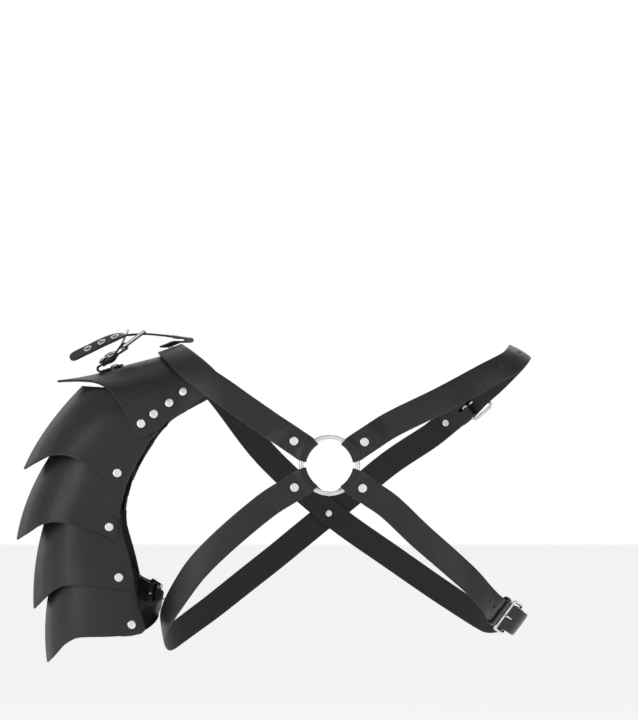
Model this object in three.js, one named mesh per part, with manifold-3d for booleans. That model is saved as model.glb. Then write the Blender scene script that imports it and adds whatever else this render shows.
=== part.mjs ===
// Shoulder harness: a leather chest harness with one front ring, and a five-plate
// leather pauldron on the wearer's right shoulder.
// Millimetres, +Z up. The front faces -Y and +X is the wearer's left.
// The origin is on the wearer's mid-plane, level with the tops of the shoulders.
import * as THREE from "three";
import { mergeVertices } from "three/addons/utils/BufferGeometryUtils.js";
import Module from "manifold-3d";

const wasm = await Module();
wasm.setup();
const V = (x, y, z) => new THREE.Vector3(x, y, z);

// ---------------------------------------------------------------- sizes
const STRAP_WIDTH = 24;
const LEATHER = 2.2;
const GAP = 0.35; // clear space between pieces that lie on each other
const RING_MID_RADIUS = 25.5;
const RING_WIRE_RADIUS = 2.0;
const RIVET_CAP_RADIUS = 4.2;
const RIVET_CAP_HEIGHT = 1.5;
const RIVET_POST_RADIUS = 1.4;
const RIVET_HOLE_RADIUS = 1.8;
const RIVET_FOOT_RADIUS = 3.2;
const RIVET_FOOT_HEIGHT = 0.7;
const PUNCH_RADIUS = 1.7;
const PLATE_LEATHER = 2.2;
const PLATE_MID_Y = 6; // the plane that each plate is symmetrical about
const HANGER_WIDTH = 15;
const HANGER_LEATHER = 1.8;
const ARM_STRAP_WIDTH = 20;
const BUCKLE_WIRE = 1.5;
const EYELET_BORE = 2.0;
const EYELET_BARREL = 2.5;
const EYELET_FLANGE = 4.0;

// ---------------------------------------------------------------- the worn form
// The smooth form that the straps are laid on: centre and half-sizes of each lobe,
// and the power of its superellipse.
const FORM_LOBES = [
  { part: "chest", cx: 0, cy: 2, cz: -172, rx: 157, ry: 110, rz: 208, power: 2.8 },
  { part: "left shoulder", cx: 40, cy: 6, cz: -40, rx: 156, ry: 62, rz: 60, power: 2.6 },
  { part: "right shoulder", cx: -40, cy: 6, cz: -53, rx: 190, ry: 62, rz: 50, power: 2.6 },
];
const FORM_BLEND = 8;

function formHeight(p) {
  const d = FORM_LOBES.map((l) => {
    const k = Math.pow(
      Math.pow(Math.abs((p.x - l.cx) / l.rx), l.power) +
        Math.pow(Math.abs((p.y - l.cy) / l.ry), l.power) +
        Math.pow(Math.abs((p.z - l.cz) / l.rz), l.power),
      1 / l.power,
    );
    return (k - 1) * Math.min(l.rx, l.ry, l.rz);
  });
  const least = Math.min(...d);
  return least - FORM_BLEND * Math.log(d.reduce((s, v) => s + Math.exp((least - v) / FORM_BLEND), 0));
}
function formSlope(p) {
  const e = 0.05;
  return V(
    formHeight(V(p.x + e, p.y, p.z)) - formHeight(V(p.x - e, p.y, p.z)),
    formHeight(V(p.x, p.y + e, p.z)) - formHeight(V(p.x, p.y - e, p.z)),
    formHeight(V(p.x, p.y, p.z + e)) - formHeight(V(p.x, p.y, p.z - e)),
  ).divideScalar(2 * e);
}
const formNormal = (p) => formSlope(p).normalize();
// The point over the form, at the given height above it, that is nearest to p.
function onForm(p, height) {
  const q = p.clone();
  for (let i = 0; i < 12; i++) {
    const g = formSlope(q);
    q.addScaledVector(g, (height - formHeight(q)) / g.lengthSq());
  }
  return q;
}

// ---------------------------------------------------------------- solids
function indexed(positions, index) {
  return new THREE.BufferGeometry()
    .setAttribute("position", new THREE.Float32BufferAttribute(positions, 3))
    .setIndex(index);
}
// A wall of even thickness round a grid of points, each with its own normal.
function wall(points, normals, thickness) {
  const rows = points.length,
    cols = points[0].length,
    positions = [],
    index = [];
  for (const side of [0.5, -0.5])
    for (let i = 0; i < rows; i++)
      for (let j = 0; j < cols; j++) {
        const q = points[i][j].clone().addScaledVector(normals[i][j], side * thickness);
        positions.push(q.x, q.y, q.z);
      }
  const at = (side, i, j) => (side * rows + i) * cols + j;
  const quad = (a, b, c, d) => index.push(a, b, c, a, c, d);
  for (let i = 0; i < rows - 1; i++)
    for (let j = 0; j < cols - 1; j++) {
      quad(at(0, i, j), at(0, i + 1, j), at(0, i + 1, j + 1), at(0, i, j + 1));
      quad(at(1, i, j), at(1, i, j + 1), at(1, i + 1, j + 1), at(1, i + 1, j));
    }
  for (let i = 0; i < rows - 1; i++) {
    quad(at(0, i + 1, 0), at(0, i, 0), at(1, i, 0), at(1, i + 1, 0));
    quad(at(0, i, cols - 1), at(0, i + 1, cols - 1), at(1, i + 1, cols - 1), at(1, i, cols - 1));
  }
  for (let j = 0; j < cols - 1; j++) {
    quad(at(0, 0, j), at(0, 0, j + 1), at(1, 0, j + 1), at(1, 0, j));
    quad(at(0, rows - 1, j + 1), at(0, rows - 1, j), at(1, rows - 1, j), at(1, rows - 1, j + 1));
  }
  return indexed(positions, index);
}
// A round wire along a list of points, closed on itself or with flat ends.
function wire(points, radius, sides, closed) {
  const n = points.length,
    positions = [],
    index = [];
  const tangents = points.map((p, i) => {
    const a = points[closed ? (i + n - 1) % n : Math.max(i - 1, 0)],
      b = points[closed ? (i + 1) % n : Math.min(i + 1, n - 1)];
    return b.clone().sub(a).normalize();
  });
  const middle = points.reduce((s, p) => s.add(p), V(0, 0, 0)).divideScalar(n);
  let side = middle.clone().sub(points[0]);
  for (let i = 0; i < n; i++) {
    const t = tangents[i];
    if (closed) side = middle.clone().sub(points[i]);
    side.addScaledVector(t, -side.dot(t));
    if (side.length() < 1e-3) side = V(t.y, t.z, t.x).cross(t);
    side.normalize();
    const up = t.clone().cross(side);
    for (let k = 0; k < sides; k++) {
      const a = (2 * Math.PI * (k + 0.5)) / sides;
      const q = points[i].clone().addScaledVector(side, radius * Math.cos(a)).addScaledVector(up, radius * Math.sin(a));
      positions.push(q.x, q.y, q.z);
    }
  }
  const rings = closed ? n : n - 1;
  for (let i = 0; i < rings; i++)
    for (let k = 0; k < sides; k++) {
      const a = i * sides + k,
        b = i * sides + ((k + 1) % sides),
        c = ((i + 1) % n) * sides + ((k + 1) % sides),
        d = ((i + 1) % n) * sides + k;
      index.push(a, b, c, a, c, d);
    }
  if (!closed)
    for (let k = 1; k < sides - 1; k++) {
      index.push(0, k + 1, k);
      const e = (n - 1) * sides;
      index.push(e, e + k, e + k + 1);
    }
  return indexed(positions, index);
}
function lathe(profile, sides) {
  const g = new THREE.LatheGeometry(profile.map(([r, h]) => new THREE.Vector2(r, h)), sides);
  g.deleteAttribute("normal");
  g.deleteAttribute("uv");
  return mergeVertices(g, 1e-4);
}
function bare(geometry) {
  const g = geometry.clone();
  for (const name of Object.keys(g.attributes)) if (name !== "position") g.deleteAttribute(name);
  return mergeVertices(g, 1e-4);
}
function toSolid(geometry) {
  const g = bare(geometry);
  return new wasm.Manifold(
    new wasm.Mesh({
      numProp: 3,
      vertProperties: new Float32Array(g.attributes.position.array),
      triVerts: new Uint32Array(g.index.array),
    }),
  );
}
function toGeometry(solid) {
  const m = solid.getMesh();
  return indexed(Array.from(m.vertProperties), Array.from(m.triVerts));
}
function cut(geometry, cutters) {
  if (!cutters.length) return geometry;
  let solid = toSolid(geometry);
  for (const c of cutters) solid = solid.subtract(toSolid(c));
  return toGeometry(solid);
}
// Turns +Y of a turned profile to the direction `axis` and moves it to `at`.
function aim(geometry, at, axis) {
  return geometry
    .clone()
    .applyQuaternion(new THREE.Quaternion().setFromUnitVectors(V(0, 1, 0), axis))
    .translate(at.x, at.y, at.z);
}
const punch = (at, axis, radius, length = 16, sides = 10) =>
  aim(bare(new THREE.CylinderGeometry(radius, radius, length, sides)), at, axis);

// ---------------------------------------------------------------- pieces
const harness = new THREE.Group();
harness.name = "shoulder_harness";
const leather = new THREE.MeshStandardMaterial({ color: 0x2b2b2e, roughness: 0.5, metalness: 0 });
const metal = new THREE.MeshStandardMaterial({ color: 0xd8d8d8, roughness: 0.18, metalness: 1 });
function add(name, geometry, material) {
  const mesh = new THREE.Mesh(bare(geometry), material);
  mesh.name = name;
  harness.add(mesh);
  return mesh;
}

// A rivet from the underside of its cap, at height `top`, to the top of its foot.
function rivetGeometry(top, bottom) {
  return lathe(
    [
      [0, top + RIVET_CAP_HEIGHT],
      [RIVET_CAP_RADIUS * 0.6, top + RIVET_CAP_HEIGHT * 0.82],
      [RIVET_CAP_RADIUS, top + RIVET_CAP_HEIGHT * 0.3],
      [RIVET_CAP_RADIUS, top],
      [RIVET_POST_RADIUS, top],
      [RIVET_POST_RADIUS, bottom],
      [RIVET_FOOT_RADIUS, bottom],
      [RIVET_FOOT_RADIUS, bottom - RIVET_FOOT_HEIGHT],
      [0, bottom - RIVET_FOOT_HEIGHT],
    ].reverse(),
    10,
  );
}
function eyeletGeometry(grip) {
  const rim = 0.45,
    cap = GAP / 2;
  return lathe(
    [
      [EYELET_BORE, cap + rim],
      [EYELET_FLANGE, cap + rim * 0.6],
      [EYELET_FLANGE, cap],
      [EYELET_BARREL, cap],
      [EYELET_BARREL, -grip - cap],
      [EYELET_FLANGE * 0.85, -grip - cap],
      [EYELET_FLANGE * 0.85, -grip - cap - rim],
      [EYELET_BORE, -grip - cap - rim],
      [EYELET_BORE, cap + rim],
    ].reverse(),
    12,
  );
}

// ---------------------------------------------------------------- pauldron plates
// Each plate is ruled between an upper and a lower edge. A row is one ruling: phi is
// the turn from the outermost line (0) round to the front edge, x and z place its end,
// and its depth in front of the plates' middle plane is half_depth * sin(phi) at the
// lower edge and given at the upper one. edge_bow hollows the front edge.
const PLATES = [
  {
    name: "plate_1", half_depth: 71, edge_bow: 0, bulge: 0, sag: 3,
    lower: [
      { phi: 0, x: -253.3, z: -27.0 },
      { phi: 9, x: -244.3, z: -26.5 },
      { phi: 20, x: -231.4, z: -26.2 },
      { phi: 33, x: -217.6, z: -27.3 },
      { phi: 46, x: -206.7, z: -31.4 },
      { phi: 57, x: -198.9, z: -37.7 },
      { phi: 68, x: -190.4, z: -49.7 },
      { phi: 76, x: -185.2, z: -59.9 },
      { phi: 83, x: -180.5, z: -69.0 },
      { phi: 88, x: -176.8, z: -75.4 },
      { phi: 92, x: -171.8, z: -78.1 },
      { phi: 97, x: -165.5, z: -74.9 },
    ],
    upper: [
      { phi: 0, x: -142.6, depth: 0, z: -2.5 },
      { phi: 30, x: -137.0, depth: 30, z: -3.5 },
      { phi: 60, x: -127.0, depth: 56, z: -12.0 },
      { phi: 97, x: -108.0, depth: 83, z: -36.5 },
    ],
  },
  {
    name: "plate_2", half_depth: 65, edge_bow: 9, bulge: 5.5, sag: 0,
    lower: [
      { phi: 0, x: -284.0, z: -108.8 },
      { phi: 21, x: -273.2, z: -102.1 },
      { phi: 37, x: -261.0, z: -96.2 },
      { phi: 50, x: -250.1, z: -94.2 },
      { phi: 62, x: -239.5, z: -95.0 },
      { phi: 74, x: -229.2, z: -99.1 },
      { phi: 86, x: -216.8, z: -106.5 },
      { phi: 95, x: -204.3, z: -114.9 },
      { phi: 101, x: -197.1, z: -121.4 },
      { phi: 105, x: -192.5, z: -124.4 },
      { phi: 108, x: -188.5, z: -123.7 },
      { phi: 111, x: -185.2, z: -119.5 },
    ],
    upper: [
      { phi: 0, x: -229.0, depth: 0, z: -31.5 },
      { phi: 30, x: -218.0, depth: 31, z: -32.3 },
      { phi: 60, x: -189.0, depth: 54, z: -33.5 },
      { phi: 90, x: -148.0, depth: 67, z: -28.0 },
      { phi: 111, x: -121.0, depth: 74, z: -36.0 },
    ],
  },
  {
    name: "plate_3", half_depth: 61.5, edge_bow: 2, bulge: 7, sag: 0,
    lower: [
      { phi: 0, x: -290.4, z: -174.4 },
      { phi: 20, x: -280.5, z: -168.0 },
      { phi: 36, x: -269.4, z: -160.8 },
      { phi: 50, x: -256.7, z: -156.4 },
      { phi: 61, x: -245.2, z: -156.6 },
      { phi: 72, x: -233.0, z: -159.9 },
      { phi: 84, x: -215.0, z: -164.8 },
      { phi: 92, x: -205.5, z: -168.9 },
      { phi: 96, x: -200.0, z: -172.7 },
      { phi: 99, x: -195.9, z: -173.5 },
      { phi: 102, x: -192.2, z: -170.2 },
      { phi: 105, x: -190.6, z: -163.7 },
    ],
    upper: [
      { phi: 0, x: -248.0, depth: 0, z: -80.0 },
      { phi: 30, x: -241.0, depth: 30, z: -80.0 },
      { phi: 60, x: -221.0, depth: 51, z: -82.0 },
      { phi: 85, x: -199.0, depth: 60, z: -88.0 },
      { phi: 105, x: -180.0, depth: 60, z: -96.0 },
    ],
  },
  {
    name: "plate_4", half_depth: 58, edge_bow: 1, bulge: 5, sag: 0,
    lower: [
      { phi: 0, x: -274.5, z: -238.6 },
      { phi: 22, x: -263.4, z: -227.4 },
      { phi: 36, x: -254.5, z: -220.1 },
      { phi: 48, x: -245.9, z: -215.6 },
      { phi: 62, x: -233.4, z: -214.4 },
      { phi: 82, x: -213.2, z: -214.5 },
      { phi: 100, x: -193.3, z: -217.3 },
      { phi: 108, x: -186.5, z: -218.1 },
      { phi: 112, x: -182.0, z: -217.6 },
      { phi: 115, x: -179.8, z: -214.0 },
      { phi: 117, x: -179.2, z: -209.0 },
    ],
    upper: [
      { phi: 0, x: -259.0, depth: 0, z: -142.0 },
      { phi: 30, x: -251.0, depth: 29, z: -142.0 },
      { phi: 60, x: -232.0, depth: 49, z: -142.5 },
      { phi: 90, x: -205.0, depth: 57.5, z: -144.5 },
      { phi: 117, x: -190.5, depth: 56, z: -149.0 },
    ],
  },
  {
    name: "plate_5", half_depth: 55, edge_bow: 0, bulge: 5, sag: 0,
    lower: [
      { phi: 0, x: -262.0, z: -288.5 },
      { phi: 20, x: -255.5, z: -281.8 },
      { phi: 36, x: -246.6, z: -271.7 },
      { phi: 48, x: -238.1, z: -265.6 },
      { phi: 58, x: -228.7, z: -262.2 },
      { phi: 80, x: -203.4, z: -261.0 },
      { phi: 100, x: -185.5, z: -260.0 },
      { phi: 112, x: -175.7, z: -259.1 },
      { phi: 117, x: -171.2, z: -257.6 },
      { phi: 120, x: -168.8, z: -253.7 },
      { phi: 122, x: -169.2, z: -247.8 },
    ],
    upper: [
      { phi: 0, x: -254.0, depth: 0, z: -196.0 },
      { phi: 30, x: -247.0, depth: 27, z: -195.5 },
      { phi: 60, x: -230.0, depth: 46, z: -195.5 },
      { phi: 90, x: -204.0, depth: 54, z: -197.0 },
      { phi: 122, x: -184.5, depth: 49, z: -203.0 },
    ],
  },
];
// Where the plates are riveted to each other: height and place of the front rivet of
// each pair. The rear one is its mirror image.
const PLATE_RIVETS = [
  { name: "12a", upper: 0, lower: 1, x: -171.6, z: -65.1 },
  { name: "12b", upper: 0, lower: 1, x: -159.9, z: -56.5 },
  { name: "12c", upper: 0, lower: 1, x: -145.7, z: -46.6 },
  { name: "12d", upper: 0, lower: 1, x: -132.8, z: -36.5 },
  { name: "23", upper: 1, lower: 2, x: -193.9, z: -110.1 },
  { name: "34", upper: 2, lower: 3, x: -202.2, z: -160.3 },
  { name: "45", upper: 3, lower: 4, x: -193.1, z: -206.2 },
];
const ARM_RIVET = { x: -181.9, z: -249.9 };
const RULINGS = 11; // from the middle line to the front edge
const COURSES = 6; // from the upper edge to the lower edge

// Smooth value of column `key` of a table of rows at parameter s of column `along`.
function smooth(rows, along, key, s) {
  const curve = new THREE.CatmullRomCurve3(rows.map((r) => V(r[along], r[key], 0)), false, "catmullrom", 0.5);
  // the parameter of the curve is the row number
  let lo = 0;
  while (lo < rows.length - 2 && s > rows[lo + 1][along]) lo++;
  const f = (s - rows[lo][along]) / (rows[lo + 1][along] - rows[lo][along]);
  return curve.getPoint((lo + f) / (rows.length - 1)).y;
}
function plateGrid(plate) {
  const last = plate.lower[plate.lower.length - 1].phi;
  const half = [];
  for (let i = 0; i <= RULINGS; i++) {
    // the rulings crowd towards the front corner, where the outline turns
    const phi = last * (1 - Math.pow(1 - i / RULINGS, 1.35));
    const s = Math.sin((phi * Math.PI) / 180);
    const low = V(
      smooth(plate.lower, "phi", "x", phi),
      PLATE_MID_Y - plate.half_depth * s,
      smooth(plate.lower, "phi", "z", phi),
    );
    const up = V(
      smooth(plate.upper, "phi", "x", phi),
      PLATE_MID_Y - smooth(plate.upper, "phi", "depth", phi),
      smooth(plate.upper, "phi", "z", phi),
    );
    const course = [];
    for (let j = 0; j <= COURSES; j++) {
      const v = j / COURSES,
        q = up.clone().lerp(low, v),
        arch = 4 * v * (1 - v);
      q.x -= arch * (plate.edge_bow * Math.pow(i / RULINGS, 3) + plate.bulge * Math.pow(Math.cos((Math.min(phi, 90) * Math.PI) / 180), 2));
      q.z -= plate.sag * arch * (1 - i / RULINGS);
      course.push(q);
    }
    half.push(course);
  }
  return half;
}
// From the front edge over the middle line to the rear edge, which mirrors the front.
function mirrored(half) {
  const rear = half.slice(1).map((course) => course.map((q) => V(q.x, 2 * PLATE_MID_Y - q.y, q.z)));
  return [...half.slice().reverse(), ...rear];
}
// Normals of a grid, from the neighbours of each point.
function gridNormals(points) {
  const rows = points.length,
    cols = points[0].length;
  return points.map((row, i) =>
    row.map((q, j) => {
      const a = points[Math.min(i + 1, rows - 1)][j].clone().sub(points[Math.max(i - 1, 0)][j]);
      const b = row[Math.min(j + 1, cols - 1)].clone().sub(row[Math.max(j - 1, 0)]);
      return a.cross(b).normalize();
    }),
  );
}
function surfaceMesh(points) {
  const positions = [],
    index = [],
    cols = points[0].length;
  points.forEach((row) => row.forEach((q) => positions.push(q.x, q.y, q.z)));
  for (let i = 0; i < points.length - 1; i++)
    for (let j = 0; j < cols - 1; j++) {
      const a = i * cols + j;
      index.push(a, a + cols, a + cols + 1, a, a + cols + 1, a + 1);
    }
  const mesh = new THREE.Mesh(indexed(positions, index), new THREE.MeshBasicMaterial({ side: THREE.DoubleSide }));
  mesh.updateMatrixWorld(true);
  return mesh;
}
const caster = new THREE.Raycaster();
// Signed distance from q to the surface along n, with the course where it is met, or
// null where the surface isn't there.
function reach(mesh, q, n, back = 30, courses = COURSES + RUN_ON) {
  caster.set(q.clone().addScaledVector(n, -back), n);
  caster.near = 0;
  caster.far = 2 * back + 40;
  let best = null;
  for (const h of caster.intersectObject(mesh)) {
    const distance = h.distance - back;
    if (!best || Math.abs(distance) < Math.abs(best.distance))
      best = { distance, course: Math.floor(h.faceIndex / 2) % courses, line: Math.floor(h.faceIndex / 2 / courses) };
  }
  return best;
}
// The value of a grid between its points.
function between(grid, i, j) {
  const a = Math.floor(i),
    b = Math.floor(j),
    c = Math.min(a + 1, grid.length - 1),
    d = Math.min(b + 1, grid[0].length - 1);
  return grid[a][b].clone().lerp(grid[c][b], i - a).lerp(grid[a][d].clone().lerp(grid[c][d], i - a), j - b);
}
const STACK = PLATE_LEATHER + GAP + 0.15;
// The surface of a plate, run on past its lower and front edges.
const RUN_ON = 3;
function runOn(points) {
  const longer = (line, n) => {
    const a = line[line.length - 1],
      step = a.clone().sub(line[line.length - 2]);
    return [...line, ...Array.from({ length: n }, (_, k) => a.clone().addScaledVector(step, k + 1))];
  };
  const down = points.map((course) => longer(course, RUN_ON));
  const turned = down[0].map((_, j) => {
    const line = down.map((course) => course[j]);
    return longer(longer(line, 1).reverse(), 1).reverse();
  });
  return turned[0].map((_, i) => turned.map((line) => line[i]));
}

// The first plate lies on the worn form along its inner edge; a lower plate is held
// under the one above wherever they lie over each other, and close to it at the rivets.
const grids = [];
PLATES.forEach((plate, k) => {
  let grid = mirrored(plateGrid(plate));
  if (k === 0)
    grid = grid.map((course) =>
      course.map((q, j) => {
        const v = j / COURSES,
          rest = GAP + PLATE_LEATHER / 2,
          want = onForm(q, rest),
          hug = 1 - THREE.MathUtils.smoothstep(v, 0.2, 0.42);
        return formHeight(q) < rest ? want : q.clone().lerp(want, hug);
      }),
    );
  else {
    const above = surfaceMesh(runOn(grids[k - 1])),
      aboveNormals = gridNormals(grids[k - 1]),
      rivets = PLATE_RIVETS.filter((r) => r.lower === k);
    for (let pass = 0; pass < 8; pass++) {
      const normals = gridNormals(grid),
        rows = grid.length,
        cols = grid[0].length,
        below = surfaceMesh(grid);
      const need = grid.map((course) => course.map(() => -99)),
        move = grid.map((course) => course.map(() => 0));
      const raise = (i, j, value) => {
        if (i >= 0 && j >= 0 && i < rows && j < cols && value > need[i][j]) need[i][j] = value;
      };
      // from points of the lower plate out to the upper one
      for (let i = 0; i < rows - 0.5; i += 0.5)
        for (let j = 0; j < cols - 0.5; j += 0.5) {
          const hit = reach(above, between(grid, i, j), between(normals, i, j).normalize());
          if (!hit) continue;
          const fade = 1 - THREE.MathUtils.smoothstep(hit.course, COURSES, COURSES + RUN_ON);
          const short = (STACK - hit.distance) * fade;
          for (const a of [Math.floor(i), Math.ceil(i)]) for (const b of [Math.floor(j), Math.ceil(j)]) raise(a, b, short);
          if (Number.isInteger(i) && Number.isInteger(j)) {
            const q = grid[i][j],
              near = Math.min(...rivets.map((r) => Math.hypot(q.x - r.x, q.z - r.z))),
              hold = 1 - THREE.MathUtils.smoothstep(near, 14, 34);
            move[i][j] = short > 0 ? short : short * hold;
          }
        }
      // and from points of the upper plate in to the lower one
      const upper = grids[k - 1];
      for (let i = 0; i < upper.length - 0.5; i += 0.5)
        for (let j = 0; j < upper[0].length - 0.5; j += 0.5) {
          const hit = reach(below, between(upper, i, j), between(aboveNormals, i, j).normalize().negate(), 30, cols - 1);
          if (!hit) continue;
          for (const a of [0, 1]) for (const b of [0, 1]) raise(hit.line + a, hit.course + b, STACK - hit.distance);
        }
      let inward = move;
      for (let turn = 0; turn < 2; turn++)
        inward = inward.map((course, i) =>
          course.map((_, j) => {
            let sum = 0,
              count = 0;
            for (let a = -1; a <= 1; a++)
              for (let b = -1; b <= 1; b++) {
                const row = inward[i + a];
                if (row && row[j + b] !== undefined) {
                  sum += row[j + b];
                  count++;
                }
              }
            return Math.max(sum / count, need[i][j]);
          }),
        );
      grid = grid.map((course, i) => course.map((q, j) => q.clone().addScaledVector(normals[i][j], -inward[i][j])));
    }
  }
  grids.push(grid);
});
const plateNormals = grids.map((g) => gridNormals(g));
const plateSurfaces = grids.map(surfaceMesh);

// Where a line from `from` along `along` first meets a grid's surface, on its outer face.
function meet(surface, from, along, thickness) {
  caster.set(from, along);
  caster.near = 0;
  caster.far = 1000;
  const hit = caster.intersectObject(surface)[0];
  if (!hit) throw new Error("nothing there from " + from.toArray());
  const g = surface.geometry,
    n = V(0, 0, 0),
    weights = new THREE.Vector3(),
    corner = [hit.face.a, hit.face.b, hit.face.c],
    at = corner.map((c) => new THREE.Vector3().fromBufferAttribute(g.attributes.position, c));
  THREE.Triangle.getBarycoord(hit.point, at[0], at[1], at[2], weights);
  if (!g.attributes.normal) g.computeVertexNormals();
  corner.forEach((c, k) =>
    n.addScaledVector(new THREE.Vector3().fromBufferAttribute(g.attributes.normal, c), weights.getComponent(k)),
  );
  n.normalize();
  if (n.dot(along) > 0) n.negate();
  return { at: hit.point.clone().addScaledVector(n, thickness / 2), axis: n };
}
const frontOf = (k, x, z) => meet(plateSurfaces[k], V(x, -400, z), V(0, 1, 0), PLATE_LEATHER);
const flip = (r) => ({
  at: V(r.at.x, 2 * PLATE_MID_Y - r.at.y, r.at.z),
  axis: V(r.axis.x, -r.axis.y, r.axis.z),
});
// The height over `at`, along `axis`, of the highest or lowest point of a surface
// within a circle.
function seat(surface, at, axis, radius, highest) {
  const side = V(0, 0, 1).cross(axis).normalize(),
    up = axis.clone().cross(side);
  let best = null;
  for (let k = 0; k <= 8; k++) {
    const r = k === 8 ? 0 : radius * 1.05,
      a = (k * Math.PI) / 4,
      from = at.clone().addScaledVector(side, r * Math.cos(a)).addScaledVector(up, r * Math.sin(a));
    const hit = reach(surface, from, axis.clone().negate(), 12, 1);
    if (!hit) continue;
    const height = -hit.distance;
    if (best === null || (highest ? height > best : height < best)) best = height;
  }
  return best;
}
// A rivet through surfaces that lie on each other, the outermost first: at and axis on
// the outer one, and the thickness of each.
function rivetThrough(name, place, surfaces) {
  const [outer, outerThickness] = surfaces[0],
    [inner, innerThickness] = surfaces[surfaces.length - 1];
  const top = seat(outer, place.at, place.axis, RIVET_CAP_RADIUS, true) + outerThickness / 2 + GAP,
    bottom = seat(inner, place.at, place.axis, RIVET_FOOT_RADIUS, false) - innerThickness / 2 - GAP;
  add(name, aim(rivetGeometry(top, bottom), place.at, place.axis), metal);
  return punch(place.at.clone().addScaledVector(place.axis, (top + bottom) / 2), place.axis, RIVET_HOLE_RADIUS, top - bottom + 6);
}
const plateCuts = PLATES.map(() => []);
for (const r of PLATE_RIVETS) {
  const front = frontOf(r.upper, r.x, r.z);
  for (const [side, place] of [["front", front], ["rear", flip(front)]]) {
    const hole = rivetThrough("plate_rivet_" + r.name + "_" + side, place, [
      [plateSurfaces[r.upper], PLATE_LEATHER],
      [plateSurfaces[r.lower], PLATE_LEATHER],
    ]);
    plateCuts[r.upper].push(hole);
    plateCuts[r.lower].push(hole);
  }
}

// ---------------------------------------------------------------- straps
// A strap is a grid of rows across it. Its path is a list of keys: a point on the
// middle of the leather, the direction its outer face looks, and how far it clings to
// the form (0 free, 1 at height h over it).
const COLUMNS = [-1, -0.5, 0, 0.5, 1];
function makeFrame(o, x, z) {
  const X = x.clone().normalize(),
    Z = z.clone().addScaledVector(X, -z.dot(X)).normalize();
  return { o, x: X, y: Z.clone().cross(X), z: Z };
}
// A frame may bend towards the body from s = bend.from on, round a radius.
const turned = (f, s) => (f.bend && s > f.bend.from ? (s - f.bend.from) / f.bend.radius : 0);
function local(f, s, z) {
  const a = turned(f, s);
  if (!a) return f.o.clone().addScaledVector(f.x, s).addScaledVector(f.z, z);
  const r = f.bend.radius;
  return f.o
    .clone()
    .addScaledVector(f.x, f.bend.from + (r + z) * Math.sin(a))
    .addScaledVector(f.z, (r + z) * Math.cos(a) - r);
}
const outOf = (f, s) =>
  f.z.clone().multiplyScalar(Math.cos(turned(f, s))).addScaledVector(f.x, Math.sin(turned(f, s)));
const frameKey = (f, s, z) => {
  const p = local(f, s, z);
  return { p, n: outOf(f, s), cling: 0, h: formHeight(p) };
};
const formKey = (x, y, z, h) => {
  const p = onForm(V(x, y, z), h);
  return { p, n: formNormal(p), cling: 1, h };
};
const freeKey = (p, n) => ({ p, n: n.clone(), cling: 0, h: formHeight(p) });
// Rows along the keys, without the first and the last one, which only guide the curve.
function route(keys, half, step = 16) {
  const curve = new THREE.CatmullRomCurve3(keys.map((k) => k.p), false, "centripetal"),
    last = keys.length - 1,
    list = [];
  for (let k = 1; k < last - 1; k++) {
    const count = Math.max(1, Math.ceil(keys[k].p.distanceTo(keys[k + 1].p) / step));
    for (let i = 0; i < count || (k === last - 2 && i === count); i++) {
      const f = i / count,
        ease = f * f * (3 - 2 * f),
        cling = keys[k].cling + (keys[k + 1].cling - keys[k].cling) * ease,
        h = keys[k].h + (keys[k + 1].h - keys[k].h) * ease,
        p = curve.getPoint((k + f) / last),
        n = keys[k].n.clone().lerp(keys[k + 1].n, ease).normalize();
      if (cling > 0) {
        const q = onForm(p, h);
        p.lerp(q, cling);
        n.lerp(formNormal(q), cling).normalize();
      }
      list.push({ p, n, cling, h });
    }
  }
  return list.map((r, i) => {
    const a = i > 0 ? list[i - 1].p : keys[0].p,
      b = i < list.length - 1 ? list[i + 1].p : keys[last].p,
      t = b.clone().sub(a).normalize(),
      w = r.n.clone().cross(t).normalize();
    return COLUMNS.map((u) => {
      const q = r.p.clone().addScaledVector(w, u * half);
      return r.cling > 0 ? q.lerp(onForm(q, r.h), r.cling) : q;
    });
  });
}
// A row at (s, z) of a frame; `side` is -1 where the strap runs against the frame's x.
const frameRow = (f, s, z, half, side = 1, shift = null) =>
  COLUMNS.map((u) => local(f, s - (shift ? shift(u) : 0), z).addScaledVector(f.y, side * u * half));
// Points of a fold round a bar at (s, z) from under it, away from the strap, to over it.
function fold(s, z, radius, steps = 8) {
  return Array.from({ length: steps + 1 }, (_, k) => {
    const a = -Math.PI / 2 - (Math.PI * k) / steps;
    return [s + radius * Math.cos(a), z + radius * Math.sin(a)];
  });
}
// Rows of a rounded tip that goes on from (s, z) of a frame.
const tipRows = (f, s, z, half, side = 1) =>
  [[0, 1], [4, 0.94], [7, 0.76], [8.6, 0.5], [9.3, 0.2]].map(([d, share]) => frameRow(f, s + d, z, half * share, side));
const centreOf = (row) => row[(COLUMNS.length - 1) / 2];
const strapSurface = (rows) => surfaceMesh(rows);
// The nearest place on the outer face of a strap's rows.
function onStrap(rows, q, thickness) {
  const normals = gridNormals(rows);
  let best = null;
  for (let i = 0; i < rows.length - 0.01; i += 0.1) {
    const p = between(rows, i, 2),
      d = p.distanceTo(q);
    if (!best || d < best.d) best = { d, i, p };
  }
  const axis = between(normals, best.i, 2).normalize();
  return { at: best.p.clone().addScaledVector(axis, thickness / 2), axis };
}
const cuts = {};
const cutFrom = (name, cutter) => (cuts[name] = cuts[name] || []).push(cutter);
const strapRows = {};
const strapLeather = {};
function strap(name, rows, thickness) {
  strapRows[name] = rows;
  strapLeather[name] = thickness;
}

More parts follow.
